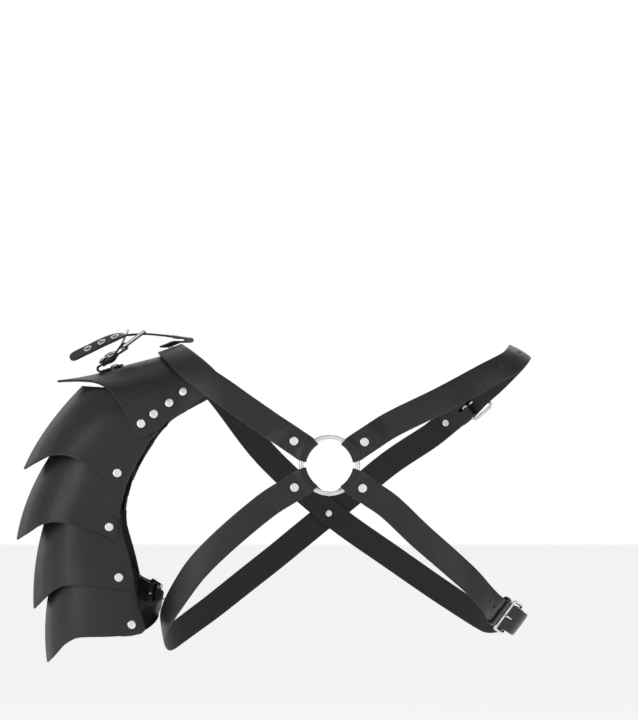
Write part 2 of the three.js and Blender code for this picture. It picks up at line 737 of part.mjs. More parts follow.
// ---------------------------------------------------------------- front ring
const RING_CENTRE = V(0, -107.3, -101.7); // on the plane that the strap ends lie on
const FOLD_RADIUS = 3.5;
const RING_LIFT = 4.6;
const ring = [];
for (let i = 0; i < 40; i++) {
  const a = (2 * Math.PI * i) / 40;
  ring.push(
    V(RING_CENTRE.x + RING_MID_RADIUS * Math.cos(a), RING_CENTRE.y - RING_LIFT, RING_CENTRE.z + RING_MID_RADIUS * Math.sin(a)),
  );
}
add("front_ring", wire(ring, RING_WIRE_RADIUS, 8, true), metal);
// The four strap ends: direction from the ring's centre, and the place of the rivet.
const RING_ENDS = {
  strap_right_shoulder: { x: -0.826, z: 0.563, rivet: 38.6 },
  strap_left_shoulder: { x: 0.832, z: 0.554, rivet: 37.8 },
  strap_left_flank: { x: 0.822, z: -0.569, rivet: 36.2 },
  strap_right_flank: { x: -0.845, z: -0.535, rivet: 37.3 },
};
const ringFrames = {};
for (const [name, e] of Object.entries(RING_ENDS)) ringFrames[name] = makeFrame(RING_CENTRE, V(e.x, 0, e.z), V(0, -1, 0));
const LOOP_OVER = [[27.4, 7.6], [29.4, 6.2], [31.4, 4.7], [33.4, 3.95], [43, 3.8]];
function ringRows(name) {
  const f = ringFrames[name],
    path = [[43.5, 1.1], [36, 1.1], [30, 1.1], ...fold(RING_MID_RADIUS, RING_LIFT, FOLD_RADIUS), ...LOOP_OVER];
  return path.map(([s, z]) => {
    const half = STRAP_WIDTH / 2 - 1.6 * (1 - THREE.MathUtils.smoothstep(s, 23, 29)),
      fade = 1 - THREE.MathUtils.smoothstep(s, 28, 36);
    return frameRow(f, s, z, half, 1, (u) => (RING_MID_RADIUS - Math.sqrt(RING_MID_RADIUS ** 2 - (u * half) ** 2)) * fade);
  });
}
// The keys that lead off a ring end on to the form.
function ringLead(name) {
  const f = ringFrames[name],
    p = local(f, 64, 0);
  return [frameKey(f, 36, 3.95), frameKey(f, 43, 3.8), frameKey(f, 48, 3.3), formKey(p.x, p.y, p.z, 1.4)];
}

// ---------------------------------------------------------------- buckles
// A buckle's frame has its origin on the heel bar; +x leads from the roller over the
// heel bar along the strap that holds it, and +z looks out.
const BUCKLES = {
  side: { o: V(169.2, -16.5, -247.1), x: V(8.2, 21.5, -6.1), z: V(0.7245, -0.4293, -0.5393), length: 23, width: 31, leather: LEATHER, bend: 34 },
  back: { o: onForm(V(130, 84, -52), 5.2), x: V(-30, 17, -27), z: formNormal(onForm(V(130, 84, -52), 5.2)), length: 23, width: 31, leather: LEATHER, bend: 120 },
  arm: { o: V(-165.6, 9.3, -223.8), x: V(-0.41, 0.89, 0.2), z: V(0.91, 0.42, 0), length: 22, width: 26, leather: LEATHER, bend: 110 },
  hanger: { o: V(-190.9, PLATE_MID_Y, 5.5), x: V(-0.8, 0, -0.6), z: V(-0.6, 0, 0.8), length: 23.6, width: 21, leather: HANGER_LEATHER },
};
const PRONG_RADIUS = 1.1;
const prongCutters = {};
for (const [name, b] of Object.entries(BUCKLES)) {
  const f = (b.frame = makeFrame(b.o, b.x, b.z)),
    turn = 3,
    points = [];
  b.fold = BUCKLE_WIRE + GAP + b.leather / 2;
  if (b.bend) f.bend = { from: 5, radius: b.bend };
  for (const [cs, cy, start] of [
    [-b.length + turn, b.width / 2 - turn, 90],
    [-b.length + turn, -b.width / 2 + turn, 180],
    [-turn, -b.width / 2 + turn, 270],
    [-turn, b.width / 2 - turn, 0],
  ])
    for (let k = 0; k <= 3; k++) {
      const a = ((start + k * 30) * Math.PI) / 180;
      points.push(local(f, cs + turn * Math.cos(a), 0).addScaledVector(f.y, cy + turn * Math.sin(a)));
    }
  add(name + "_buckle_frame", wire(points, BUCKLE_WIRE, 8, true), metal);
  const curl = BUCKLE_WIRE + GAP + PRONG_RADIUS,
    tip = name === "hanger" ? [-11.8, 10.2] : [-b.length - 1.2, curl],
    reachTip = Math.hypot(...tip),
    leave = Math.atan2(tip[1], tip[0]) - Math.acos(curl / reachTip),
    first = (-145 * Math.PI) / 180,
    path = [];
  for (let k = 0; k <= 8; k++) {
    const a = first + ((leave - first) * k) / 8;
    path.push(local(f, curl * Math.cos(a), curl * Math.sin(a)));
  }
  path.push(local(f, ...tip));
  add(name + "_buckle_prong", wire(path, PRONG_RADIUS, 8, false), metal);
  prongCutters[name] = wire([path[path.length - 2], path[path.length - 1].clone().addScaledVector(path[path.length - 1].clone().sub(path[path.length - 2]).normalize(), 3)], PRONG_RADIUS + 0.55, 8, false);
  // the slot that the prong turns in
  b.slot = new THREE.BoxGeometry(2 * PRONG_RADIUS + 1.1, 12, 14).applyMatrix4(
    new THREE.Matrix4().makeBasis(f.y, f.x, f.y.clone().cross(f.x)),
  );
  const mid = local(f, 0, 0);
  b.slot.translate(mid.x, mid.y, mid.z);
}
// The strap that holds a buckle: over the bar, round it and back underneath.
const CARRIER_OVER = [[30, -0.45], [25, -0.42], [20, -0.4], [16.5, -0.3], [13, 0.0], [8, 1.1], [4, 2.6]];
function carrierRows(name, half, under) {
  const b = BUCKLES[name],
    f = b.frame;
  const path = [
    ...CARRIER_OVER.filter(([s]) => s <= under + 3),
    ...fold(0, 0, b.fold).reverse(),
    [5, -3.0],
    ...[0, 0.3, 0.65, 1].map((f) => [11 + (under - 11) * f, -3.04]),
  ];
  return path.map(([s, z]) => frameRow(f, s, z, half, -1));
}
// The strap that passes under the roller, over the heel bar and on over the other strap.
function tongueRows(name, half) {
  const b = BUCKLES[name],
    L = b.length;
  const path = [[-L - 9, -3.05], [-L - 2, -3.1], [-L + 2, -2.9], [-L + 6, -1.4], [-10, 2.0], [-5, 4.7], [-1, 5.8], [3, 5.95], [6.5, 5.3]];
  const lift = name === "arm" ? 0.75 : 0, reachTip = name === "arm" ? 8.5 : 10.5; // the narrow strap bends more sharply
  return [...path.map(([s, z]) => frameRow(b.frame, s, z + (s > -6 ? lift : 0), half)), ...tipRows(b.frame, reachTip, 4.6 + lift, half)];
}

// ---------------------------------------------------------------- the four straps
const HALF = STRAP_WIDTH / 2;
const OVER_PLATE = 4.9; // height of the right shoulder strap where it lies on plate 1
const CROSSING = 4.4; // height of the upper strap where two cross at the back
strap("strap_right_shoulder", [
  ...ringRows("strap_right_shoulder"),
  ...route([
    ...ringLead("strap_right_shoulder"),
    formKey(-78, -93, -49, 2.0),
    formKey(-92.3, -85.9, -39, 4.2),
    formKey(-115.3, -68.2, -23.8, OVER_PLATE),
    formKey(-132.4, -48.6, -10.7, OVER_PLATE),
    formKey(-144, -22, -2, OVER_PLATE),
    formKey(-147, 6, 0.4, OVER_PLATE),
    formKey(-143, 36, -6, OVER_PLATE),
    formKey(-132.4, 60.6, -12, OVER_PLATE),
    formKey(-116, 79, -26, OVER_PLATE),
    formKey(-98, 92, -48, 4.4),
    formKey(-60, 104, -98, 1.4),
    formKey(0, 112, -153, 1.4),
    formKey(60, 108, -196, 1.4),
    formKey(112, 90, -232, 1.4),
    formKey(145, 55, -252, 3.0),
    frameKey(BUCKLES.side.frame, 38, -0.45),
    frameKey(BUCKLES.side.frame, 30, -0.45),
    frameKey(BUCKLES.side.frame, 20, -0.4),
  ], HALF).slice(1, -1),
  ...carrierRows("side", HALF, 27),
], LEATHER);
strap("strap_left_shoulder", [
  ...ringRows("strap_left_shoulder"),
  ...route([
    ...ringLead("strap_left_shoulder"),
    formKey(100.3, -84.2, -44, 1.4),
    formKey(141.5, -54.7, -22.5, 1.4),
    formKey(168.2, -34.9, -7.9, 1.4),
    formKey(177, 2, 0, 1.4),
    formKey(172, 38, -10, 1.4),
    frameKey(BUCKLES.back.frame, -BUCKLES.back.length - 14, -3.05),
    frameKey(BUCKLES.back.frame, -BUCKLES.back.length - 9, -3.05),
    frameKey(BUCKLES.back.frame, -BUCKLES.back.length - 2, -3.1),
  ], HALF).slice(1, -1),
  ...tongueRows("back", HALF),
], LEATHER);
strap("strap_left_flank", [
  ...ringRows("strap_left_flank"),
  ...route([
    ...ringLead("strap_left_flank"),
    formKey(81.7, -102.7, -165.6, 1.4),
    formKey(109.4, -93.2, -190.1, 1.4),
    formKey(132.4, -77.3, -212.5, 2.4),
    frameKey(BUCKLES.side.frame, -BUCKLES.side.length - 22, -3.05),
    frameKey(BUCKLES.side.frame, -BUCKLES.side.length - 9, -3.05),
    frameKey(BUCKLES.side.frame, -BUCKLES.side.length - 2, -3.1),
  ], HALF).slice(1, -1),
  ...tongueRows("side", HALF),
], LEATHER);
strap("strap_right_flank", [
  ...ringRows("strap_right_flank"),
  ...route([
    ...ringLead("strap_right_flank"),
    formKey(-99.9, -97.2, -174.8, 1.4),
    formKey(-120.7, -86.8, -196.5, 1.4),
    formKey(-139, -68, -224, 1.4),
    formKey(-152, -38, -248, 1.4),
    formKey(-157, 0, -263, 1.4),
    formKey(-150, 45, -268, 1.4),
    formKey(-115, 88, -246, 1.4),
    formKey(-55, 108, -199, 1.6),
    formKey(-22, 112, -172, CROSSING),
    formKey(22, 112, -136, CROSSING),
    formKey(58, 107, -106, 1.6),
    frameKey(BUCKLES.back.frame, 42, -0.45),
    frameKey(BUCKLES.back.frame, 30, -0.45),
    frameKey(BUCKLES.back.frame, 20, -0.4),
  ], HALF).slice(1, -1),
  ...carrierRows("back", HALF, 27),
], LEATHER);

// ---------------------------------------------------------------- arm strap
const armFront = frontOf(4, ARM_RIVET.x, ARM_RIVET.z),
  armRear = flip(armFront),
  ARM_DROP = PLATE_LEATHER + GAP + LEATHER / 2 + 0.3;
const under = (place) => place.at.clone().addScaledVector(place.axis, -ARM_DROP);
const armStart = frontOf(4, ARM_RIVET.x - 9, ARM_RIVET.z - 1),
  armGuide = frontOf(4, ARM_RIVET.x - 16, ARM_RIVET.z - 2);
const ARM_HALF = ARM_STRAP_WIDTH / 2;
strap("arm_strap_front", [
  ...route([
    freeKey(under(armGuide), armGuide.axis),
    freeKey(under(armStart), armStart.axis),
    freeKey(under(armFront), armFront.axis),
    freeKey(V(-174, -37, -247), V(0.35, -0.93, 0)),
    freeKey(V(-165.5, -28, -241.5), V(0.75, -0.66, 0)),
    frameKey(BUCKLES.arm.frame, -BUCKLES.arm.length - 9, -3.05),
    frameKey(BUCKLES.arm.frame, -BUCKLES.arm.length - 2, -3.1),
  ], ARM_HALF, 8),
  ...tongueRows("arm", ARM_HALF).slice(1),
], LEATHER);
const rearOf = (p) => V(p.x, 2 * PLATE_MID_Y - p.y, p.z);
strap("arm_strap_back", [
  ...route([
    freeKey(rearOf(under(armGuide)), V(armGuide.axis.x, -armGuide.axis.y, armGuide.axis.z)),
    freeKey(rearOf(under(armStart)), V(armStart.axis.x, -armStart.axis.y, armStart.axis.z)),
    freeKey(under(armRear), armRear.axis),
    freeKey(V(-175, 48, -243), V(0.4, 0.91, 0)),
    freeKey(V(-174.5, 41, -231), V(0.8, 0.6, 0)),
    frameKey(BUCKLES.arm.frame, 27, -0.45),
    frameKey(BUCKLES.arm.frame, 20, -0.4),
  ], ARM_HALF, 8),
  ...carrierRows("arm", ARM_HALF, 23).filter((_, i) => i > 0),
], LEATHER);

// ---------------------------------------------------------------- hanger over the shoulder
const HANGER_HALF = HANGER_WIDTH / 2;
const CURL_SKEW = 26; // degrees that the curl is turned towards the front
const bandRow = (x, z, roll = 0, tx = -1, tz = 0, skew = 0) => {
  const t = V(tx, 0, tz).normalize(),
    n = V(0, -1, 0).cross(t).negate(), // looks up where the band runs to -X
    w = V(-Math.tan((skew * Math.PI) / 180), -Math.cos(roll), 0).addScaledVector(n, -Math.sin(roll));
  return COLUMNS.map((u) => V(x, PLATE_MID_Y, z).addScaledVector(w, u * HANGER_HALF));
};
const dropOn = (surface, x, thickness) => meet(surface, V(x, PLATE_MID_Y, 200), V(0, 0, -1), thickness);
const seatSurface = strapSurface(strapRows.strap_right_shoulder);
// The seat follows the slope of the strap under it.
const seatZ = (x) => {
  let top = -99;
  for (const dx of [-1, 0, 1])
    for (const y of [-8, -4, 0, 4, 8]) {
      const hit = reach(seatSurface, V(x + dx + y * Math.tan((CURL_SKEW * Math.PI) / 180), PLATE_MID_Y + y, 60), V(0, 0, -1), 60, 1);
      if (hit) top = Math.max(top, 60 - hit.distance);
    }
  return top + LEATHER / 2 + GAP + HANGER_LEATHER / 2 + 0.6;
};
const FREE_END = [ // x, z and roll of the free end, from the buckle to the tip
  { x: -187.4, z: 16.2, roll: 0 },
  { x: -193, z: 15.7, roll: 14 },
  { x: -198, z: 14.5, roll: 24 },
  { x: -205, z: 12.0, roll: 30 },
  { x: -214, z: 8.0, roll: 32 },
  { x: -222, z: 4.0, roll: 32 },
  { x: -230, z: 0.2, roll: 32 },
  { x: -236, z: -2.8, roll: 32 },
];
const TOP_RUN = [ // x and z of the run from the curl to the buckle
  { x: -139, z: 13.9, skew: 25 },
  { x: -148, z: 15.2, skew: 18 },
  { x: -158, z: 16.2, skew: 8 },
  { x: -166, z: 16.9 },
  { x: -172, z: 17.2 },
  { x: -179, z: 16.9 },
];
const CURL_TOP = 13.0;
const curlMiddle = (seatZ(-134) + CURL_TOP) / 2,
  curlRadius = (CURL_TOP - seatZ(-134)) / 2;
const SEAT_RUN = [-154, -151, -148.5, -146, -143.5, -141, -138.5, -135].map((x) => ({ x, z: seatZ(x), skew: CURL_SKEW }));
const hangerPath = [
  ...SEAT_RUN,
  ...[-60, -30, 0, 30, 60, 90].map((a) => ({
    x: -132 + curlRadius * Math.cos((a * Math.PI) / 180),
    z: curlMiddle + curlRadius * Math.sin((a * Math.PI) / 180),
    skew: CURL_SKEW,
  })),
  ...TOP_RUN,
  ...FREE_END,
];
const hangerRows = hangerPath.map((r, i) => {
  const a = hangerPath[Math.max(i - 1, 0)],
    b = hangerPath[Math.min(i + 1, hangerPath.length - 1)];
  return bandRow(r.x, r.z, ((r.roll || 0) * Math.PI) / 180, b.x - a.x, b.z - a.z, r.skew || 0);
});
const lastRow = FREE_END[FREE_END.length - 1];
for (const [d, share] of [[2.5, 0.92], [4.6, 0.72], [5.8, 0.45], [6.3, 0.2]])
  hangerRows.push(
    bandRow(lastRow.x - d * 0.89, lastRow.z - d * 0.45, (32 * Math.PI) / 180, -0.89, -0.45).map((q, k, row) =>
      row[2].clone().lerp(q, share),
    ),
  );
strap("hanger_tongue", hangerRows, HANGER_LEATHER);

const footZ = (x) => dropOn(plateSurfaces[0], x, PLATE_LEATHER).at.z + GAP + HANGER_LEATHER / 2 + 0.15;
const FOOT_TURN = 2.7;
const hb = BUCKLES.hanger;
const LEG_ROLL = 28; // degrees that the upright leg is turned towards the front
const legRoll = (f) => ((LEG_ROLL * Math.PI) / 180) * THREE.MathUtils.smoothstep(f, 0, 0.42) * (1 - THREE.MathUtils.smoothstep(f, 0.45, 0.76));
const anchorRow = (p) => COLUMNS.map((u) => V(p.x, PLATE_MID_Y - u * HANGER_HALF, p.z));
const turnAt = V(-213, 0, footZ(-213) + FOOT_TURN);
const footPath = [V(-192, 0, footZ(-192)), V(-210, 0, footZ(-210))];
const turnPath = [-95, -130, -165, -200, -235, -258].map((a) =>
  V(turnAt.x + FOOT_TURN * Math.cos((a * Math.PI) / 180), 0, turnAt.z + FOOT_TURN * Math.sin((a * Math.PI) / 180)),
);
const lowEnd = local(hb.frame, 0, -hb.fold),
  turnEnd = turnPath[turnPath.length - 1];
const bandDirection = lowEnd.clone().setY(0).sub(turnEnd.clone().setY(0)).normalize(),
  bandUp = V(-bandDirection.z, 0, bandDirection.x);
const roundBar = fold(0, 0, hb.fold).map(([s, z]) => local(hb.frame, s, z).setY(0));
const DOUBLE = HANGER_LEATHER + GAP + 0.25;
// The leg's outward normal and a row across it, at a share of its length and a height over its lower layer.
const legNormal = (f) => bandUp.clone().multiplyScalar(Math.cos(legRoll(f))).addScaledVector(V(0, -1, 0), Math.sin(legRoll(f)));
const legPoint = (f, lift) => turnEnd.clone().setY(0).lerp(lowEnd.clone().setY(0), f).setY(PLATE_MID_Y).addScaledVector(legNormal(f), lift);
const legRow = (f, lift) => {
  const w = V(0, -Math.cos(legRoll(f)), 0).addScaledVector(bandUp, -Math.sin(legRoll(f)));
  return COLUMNS.map((u) => legPoint(f, lift).addScaledVector(w, u * HANGER_HALF));
};
strap(
  "hanger_anchor",
  [
    ...[...footPath, ...turnPath].map(anchorRow),
    ...[0.13, 0.27, 0.41, 0.52, 0.62, 0.74, 0.87].map((f) => legRow(f, 0)),
    ...roundBar.map(anchorRow),
    ...[0.66, 0.58, 0.49, 0.4, 0.27, 0.13, 0.04].map((f) => legRow(f, DOUBLE)),
  ],
  HANGER_LEATHER,
);

// ---------------------------------------------------------------- fastenings
const surfaces = {};
for (const name of Object.keys(strapRows)) surfaces[name] = strapSurface(strapRows[name]);
// A rivet through a fold or a lap: place on the outer face, then what it goes through.
function rivetStraps(name, place, names, bottom) {
  const extent = names.map((n) => {
    const plate = PLATES.findIndex((p) => p.name === n);
    return plate >= 0 ? [plateSurfaces[plate], PLATE_LEATHER] : [surfaces[n], strapLeather[n]];
  });
  let low = bottom;
  if (low === undefined) {
    const [inner, thickness] = extent[extent.length - 1];
    low = seat(inner, place.at, place.axis, RIVET_FOOT_RADIUS, false) - thickness / 2 - GAP;
  }
  const cap = seat(extent[0][0], place.at, place.axis, RIVET_CAP_RADIUS, true) + extent[0][1] / 2 + GAP;
  add(name, aim(rivetGeometry(cap, low), place.at, place.axis), metal);
  const hole = punch(place.at.clone().addScaledVector(place.axis, (cap + low) / 2), place.axis, RIVET_HOLE_RADIUS, cap - low + 5);
  for (const n of names) {
    const plate = PLATES.findIndex((p) => p.name === n);
    if (plate >= 0) plateCuts[plate].push(hole);
    else cutFrom(n, hole);
  }
}
for (const [name, e] of Object.entries(RING_ENDS)) {
  const f = ringFrames[name];
  rivetStraps(
    "ring_rivet_" + name.replace("strap_", ""),
    { at: local(f, e.rivet, 4.98 + 0.05), axis: f.z },
    [name],
    -5.03 - GAP,
  );
}
for (const [name, holder, at] of [
  ["side", "strap_right_shoulder", 24],
  ["back", "strap_right_flank", 24],
  ["arm", "arm_strap_back", 19.5],
])
  if (name !== "arm")
    rivetStraps(name + "_fold_rivet", { at: local(BUCKLES[name].frame, at, 0.75), axis: outOf(BUCKLES[name].frame, at) }, [holder], -5.1 - GAP);
for (const [name, holder] of [
  ["side", "strap_right_shoulder"],
  ["back", "strap_right_flank"],
  ["arm", "arm_strap_back"],
  ["hanger", "hanger_anchor"],
])
  cutFrom(holder, BUCKLES[name].slot);
for (const [name, holder] of [
  ["side", "strap_left_flank"],
  ["back", "strap_left_shoulder"],
  ["arm", "arm_strap_front"],
  ["hanger", "hanger_tongue"],
])
  cutFrom(holder, prongCutters[name]);

rivetStraps("arm_rivet_front", armFront, ["plate_5", "arm_strap_front"]);
rivetStraps("arm_rivet_rear", armRear, ["plate_5", "arm_strap_back"]);
const crossPlace = onStrap(strapRows.strap_right_flank, V(0, 116, -154), LEATHER);
rivetStraps("back_cross_rivet", crossPlace, ["strap_right_flank", "strap_right_shoulder"]);
const platePlace = onStrap(strapRows.strap_right_shoulder, V(-141, 44, -6), LEATHER);
rivetStraps("plate_1_strap_rivet", platePlace, ["strap_right_shoulder", "plate_1"]);
const footPlace = onStrap(strapRows.hanger_anchor, V(-200, PLATE_MID_Y, footZ(-200)), HANGER_LEATHER);
rivetStraps("hanger_foot_rivet", footPlace, ["hanger_anchor", "plate_1"]);

function eyelet(name, at, axis, grip, holders) {
  add(name, aim(eyeletGeometry(grip), at, axis), metal);
  for (const h of holders) cutFrom(h, punch(at.clone().addScaledVector(axis, -grip / 2), axis, EYELET_BARREL + GAP + 0.15, grip + 4, 12));
}
[[-199.6, 1], [-211.8, 2], [-224.6, 3]].forEach(([x, k]) => {
  const row = hangerRows.findIndex((r, i) => i > 17 && centreOf(r).x <= x),
    f = (x - centreOf(hangerRows[row - 1]).x) / (centreOf(hangerRows[row]).x - centreOf(hangerRows[row - 1]).x),
    axis = between(gridNormals(hangerRows), row - 1 + f, 2).normalize(),
    at = between(hangerRows, row - 1 + f, 2).addScaledVector(axis, HANGER_LEATHER / 2 + 0.2);
  eyelet("tongue_eyelet_" + k, at, axis, HANGER_LEATHER + 0.4, ["hanger_tongue"]);
});
[[0.49, 1, 0.35], [0.18, 2, 0.55]].forEach(([share, k, ease]) => {
  const axis = legNormal(share),
    at = legPoint(share, DOUBLE + HANGER_LEATHER / 2 + 0.2 + ease);
  eyelet("anchor_eyelet_" + k, at, axis, DOUBLE + HANGER_LEATHER + 0.35 + 2 * ease, ["hanger_anchor"]);
});
{
  const row = hangerRows.findIndex((r, i) => i > 14 && centreOf(r).x <= -142.5),
    f = (-142.5 - centreOf(hangerRows[row - 1]).x) / (centreOf(hangerRows[row]).x - centreOf(hangerRows[row - 1]).x),
    axis = between(gridNormals(hangerRows), row - 1 + f, 2).normalize(),
    at = between(hangerRows, row - 1 + f, 2).addScaledVector(axis, HANGER_LEATHER / 2 + 0.1);
  eyelet("seat_eyelet_upper", at, axis, HANGER_LEATHER + 0.2, ["hanger_tongue"]);
}
{
  const [left, foot, right] = SEAT_RUN.slice(1, 4).map((r) => V(r.x, PLATE_MID_Y, r.z)),
    axis = V(left.z - right.z, 0, right.x - left.x).normalize(),
    low = seat(surfaces.strap_right_shoulder, foot, axis, EYELET_FLANGE, false) - LEATHER / 2 - 1.3;
  eyelet("seat_eyelet_lower", foot.clone().addScaledVector(axis, HANGER_LEATHER / 2 + 0.55), axis, HANGER_LEATHER / 2 + 0.5 - low + 0.1, ["hanger_tongue", "strap_right_shoulder"]);
}

// adjusting holes in the two left straps
for (const s of [-39, -50, -61]) {
  const q = local(BUCKLES.side.frame, s, -3),
    place = onStrap(strapRows.strap_left_flank, q, LEATHER);
  cutFrom("strap_left_flank", punch(place.at, place.axis, PUNCH_RADIUS));
}
for (const q of [V(156.2, -44, -13.9), V(168.9, -30, -7.1), V(176, -16, -4.6)]) {
  const place = onStrap(strapRows.strap_left_shoulder, q, LEATHER);
  cutFrom("strap_left_shoulder", punch(place.at, place.axis, PUNCH_RADIUS));
}

// the keeper round the left flank strap
{
  const f = BUCKLES.side.frame,
    wide = STRAP_WIDTH + 2 * (GAP + 0.4),
    high = LEATHER + 2 * (GAP + 0.1),
    skin = 1.8,
    long = 8,
    box = (w, h) => {
      const s = new THREE.Shape(),
        r = h / 2 - 0.05,
        p = [];
      for (const [cx, cy, a0] of [[w / 2 - r, h / 2 - r, 0], [-w / 2 + r, h / 2 - r, 90], [-w / 2 + r, -h / 2 + r, 180], [w / 2 - r, -h / 2 + r, 270]])
        for (let k = 0; k <= 3; k++) {
          const a = ((a0 + k * 30) * Math.PI) / 180;
          p.push(new THREE.Vector2(cx + r * Math.cos(a), cy + r * Math.sin(a)));
        }
      s.setFromPoints(p);
      return s;
    };
  const shape = box(wide + 2 * skin + 1.5, high + 2 * skin);
  const hole = new THREE.Path();
  hole.setFromPoints([new THREE.Vector2(-wide / 2, -high / 2), new THREE.Vector2(-wide / 2, high / 2), new THREE.Vector2(wide / 2, high / 2), new THREE.Vector2(wide / 2, -high / 2)]);
  shape.holes.push(hole);
  const g = new THREE.ExtrudeGeometry(shape, { depth: long, bevelEnabled: false, steps: 1 });
  g.applyMatrix4(new THREE.Matrix4().makeBasis(f.y, f.z, f.x.clone().multiplyScalar(1)).setPosition(0, 0, 0));
  const o = local(f, -BUCKLES.side.length - 4.2 - long, -3.07);
  g.translate(o.x, o.y, o.z);
  add("side_keeper", g, leather);
}

PLATES.forEach((plate, k) => {
  add(plate.name, cut(wall(grids[k], plateNormals[k], PLATE_LEATHER), plateCuts[k]), leather);
});
for (const [name, rows] of Object.entries(strapRows)) add(name, cut(wall(rows, gridNormals(rows), strapLeather[name]), cuts[name] || []), leather);

export default harness;
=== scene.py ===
import bpy, bmesh, math
import numpy as np
from mathutils import Vector, Matrix
from mathutils.bvhtree import BVHTree


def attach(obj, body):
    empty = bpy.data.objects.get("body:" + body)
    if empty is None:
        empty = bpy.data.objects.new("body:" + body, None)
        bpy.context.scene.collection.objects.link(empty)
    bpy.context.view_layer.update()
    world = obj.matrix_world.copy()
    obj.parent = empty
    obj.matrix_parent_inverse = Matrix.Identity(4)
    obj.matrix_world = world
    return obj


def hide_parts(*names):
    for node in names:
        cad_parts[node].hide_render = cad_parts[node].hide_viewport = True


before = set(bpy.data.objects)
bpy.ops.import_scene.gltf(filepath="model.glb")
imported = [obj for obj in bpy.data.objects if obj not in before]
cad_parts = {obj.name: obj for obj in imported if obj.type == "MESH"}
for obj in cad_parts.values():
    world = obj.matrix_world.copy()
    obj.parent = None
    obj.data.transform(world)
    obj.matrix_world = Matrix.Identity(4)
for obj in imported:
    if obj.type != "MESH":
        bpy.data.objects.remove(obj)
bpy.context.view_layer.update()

# ---------------------------------------------------------------- camera, floor and light
MM = 0.001
camera_data = bpy.data.cameras.new("camera")
camera = bpy.data.objects.new("camera", camera_data)
bpy.context.scene.collection.objects.link(camera)
camera.location = (-0.0095, -3.5, -0.007)
camera.rotation_euler = (math.radians(90), 0, 0)
camera_data.sensor_fit = "HORIZONTAL"
camera_data.sensor_width = 36
camera_data.lens = 36 * 3500 / 593.34
camera_data.clip_end = 30
bpy.context.scene.camera = camera


def plain(name, color, rough):
    m = bpy.data.materials.new(name)
    m.use_nodes = True
    b = m.node_tree.nodes["Principled BSDF"]
    b.inputs["Base Color"].default_value = (*color, 1)
    b.inputs["Roughness"].default_value = rough
    return m


floor_mesh = bpy.data.meshes.new("floor")
floor_mesh.from_pydata([(-9, -9, -0.62), (9, -9, -0.62), (9, 9, -0.62), (-9, 9, -0.62)], [], [(0, 1, 2, 3)])
floor = bpy.data.objects.new("floor", floor_mesh)
floor_paint = plain("floor", (0.88, 0.88, 0.88), 0.9)
floor_paint.node_tree.nodes["Principled BSDF"].inputs["Emission Color"].default_value = (1, 1, 1, 1)
floor_paint.node_tree.nodes["Principled BSDF"].inputs["Emission Strength"].default_value = 0.36
floor_mesh.materials.append(floor_paint)
bpy.context.scene.collection.objects.link(floor)

world = bpy.data.worlds.new("studio")
bpy.context.scene.world = world
world.use_nodes = True
wt = world.node_tree
sky = wt.nodes["Background"]
sky.inputs["Strength"].default_value = 1.0
where = wt.nodes.new("ShaderNodeTexCoord")
split = wt.nodes.new("ShaderNodeSeparateXYZ")
wt.links.new(where.outputs["Generated"], split.inputs[0])
tone = wt.nodes.new("ShaderNodeValToRGB")
tone.color_ramp.elements[0].position, tone.color_ramp.elements[0].color = 0.0, (0.34, 0.34, 0.345, 1)
tone.color_ramp.elements[1].position, tone.color_ramp.elements[1].color = 1.0, (0.95, 0.95, 0.95, 1)
for at, level in ((0.30, 0.46), (0.62, 0.72), (0.82, 0.90)):
    e = tone.color_ramp.elements.new(at)
    e.color = (level, level, level * 1.01, 1)
half = wt.nodes.new("ShaderNodeMath")
half.operation = "ABSOLUTE"
wt.links.new(split.outputs["Y"], half.inputs[0])
wt.links.new(half.outputs[0], tone.inputs["Fac"])
wt.links.new(tone.outputs["Color"], sky.inputs["Color"])
white = wt.nodes.new("ShaderNodeBackground")
white.inputs["Color"].default_value = (1, 1, 1, 1)
path_node = wt.nodes.new("ShaderNodeLightPath")
pick = wt.nodes.new("ShaderNodeMixShader")
wt.links.new(path_node.outputs["Is Camera Ray"], pick.inputs["Fac"])
wt.links.new(sky.outputs[0], pick.inputs[1])
wt.links.new(white.outputs[0], pick.inputs[2])
wt.links.new(pick.outputs[0], wt.nodes["World Output"].inputs["Surface"])


def area(name, place, size, power, target=(0, 0, -0.12)):
    d = bpy.data.lights.new(name, "AREA")
    d.shape = "RECTANGLE"
    d.size, d.size_y = size
    d.energy = power
    o = bpy.data.objects.new(name, d)
    o.location = place
    o.rotation_euler = (Vector(target) - Vector(place)).to_track_quat("-Z", "Y").to_euler()
    bpy.context.scene.collection.objects.link(o)


area("key", (-1.9, -0.9, 0.35), (0.7, 1.6), 11)
area("front", (0.2, -2.6, 1.9), (1.6, 0.7), 4)
area("fill", (1.8, -1.3, 0.1), (0.8, 1.6), 5)
area("rim", (0.3, 1.6, 1.3), (1.4, 0.9), 6)
bpy.context.scene.view_settings.view_transform = "Standard"
bpy.context.scene.view_settings.look = "None"

# ---------------------------------------------------------------- materials


def nodes_of(m):
    m.use_nodes = True
    t = m.node_tree
    return t, t.nodes, t.links, t.nodes["Principled BSDF"]


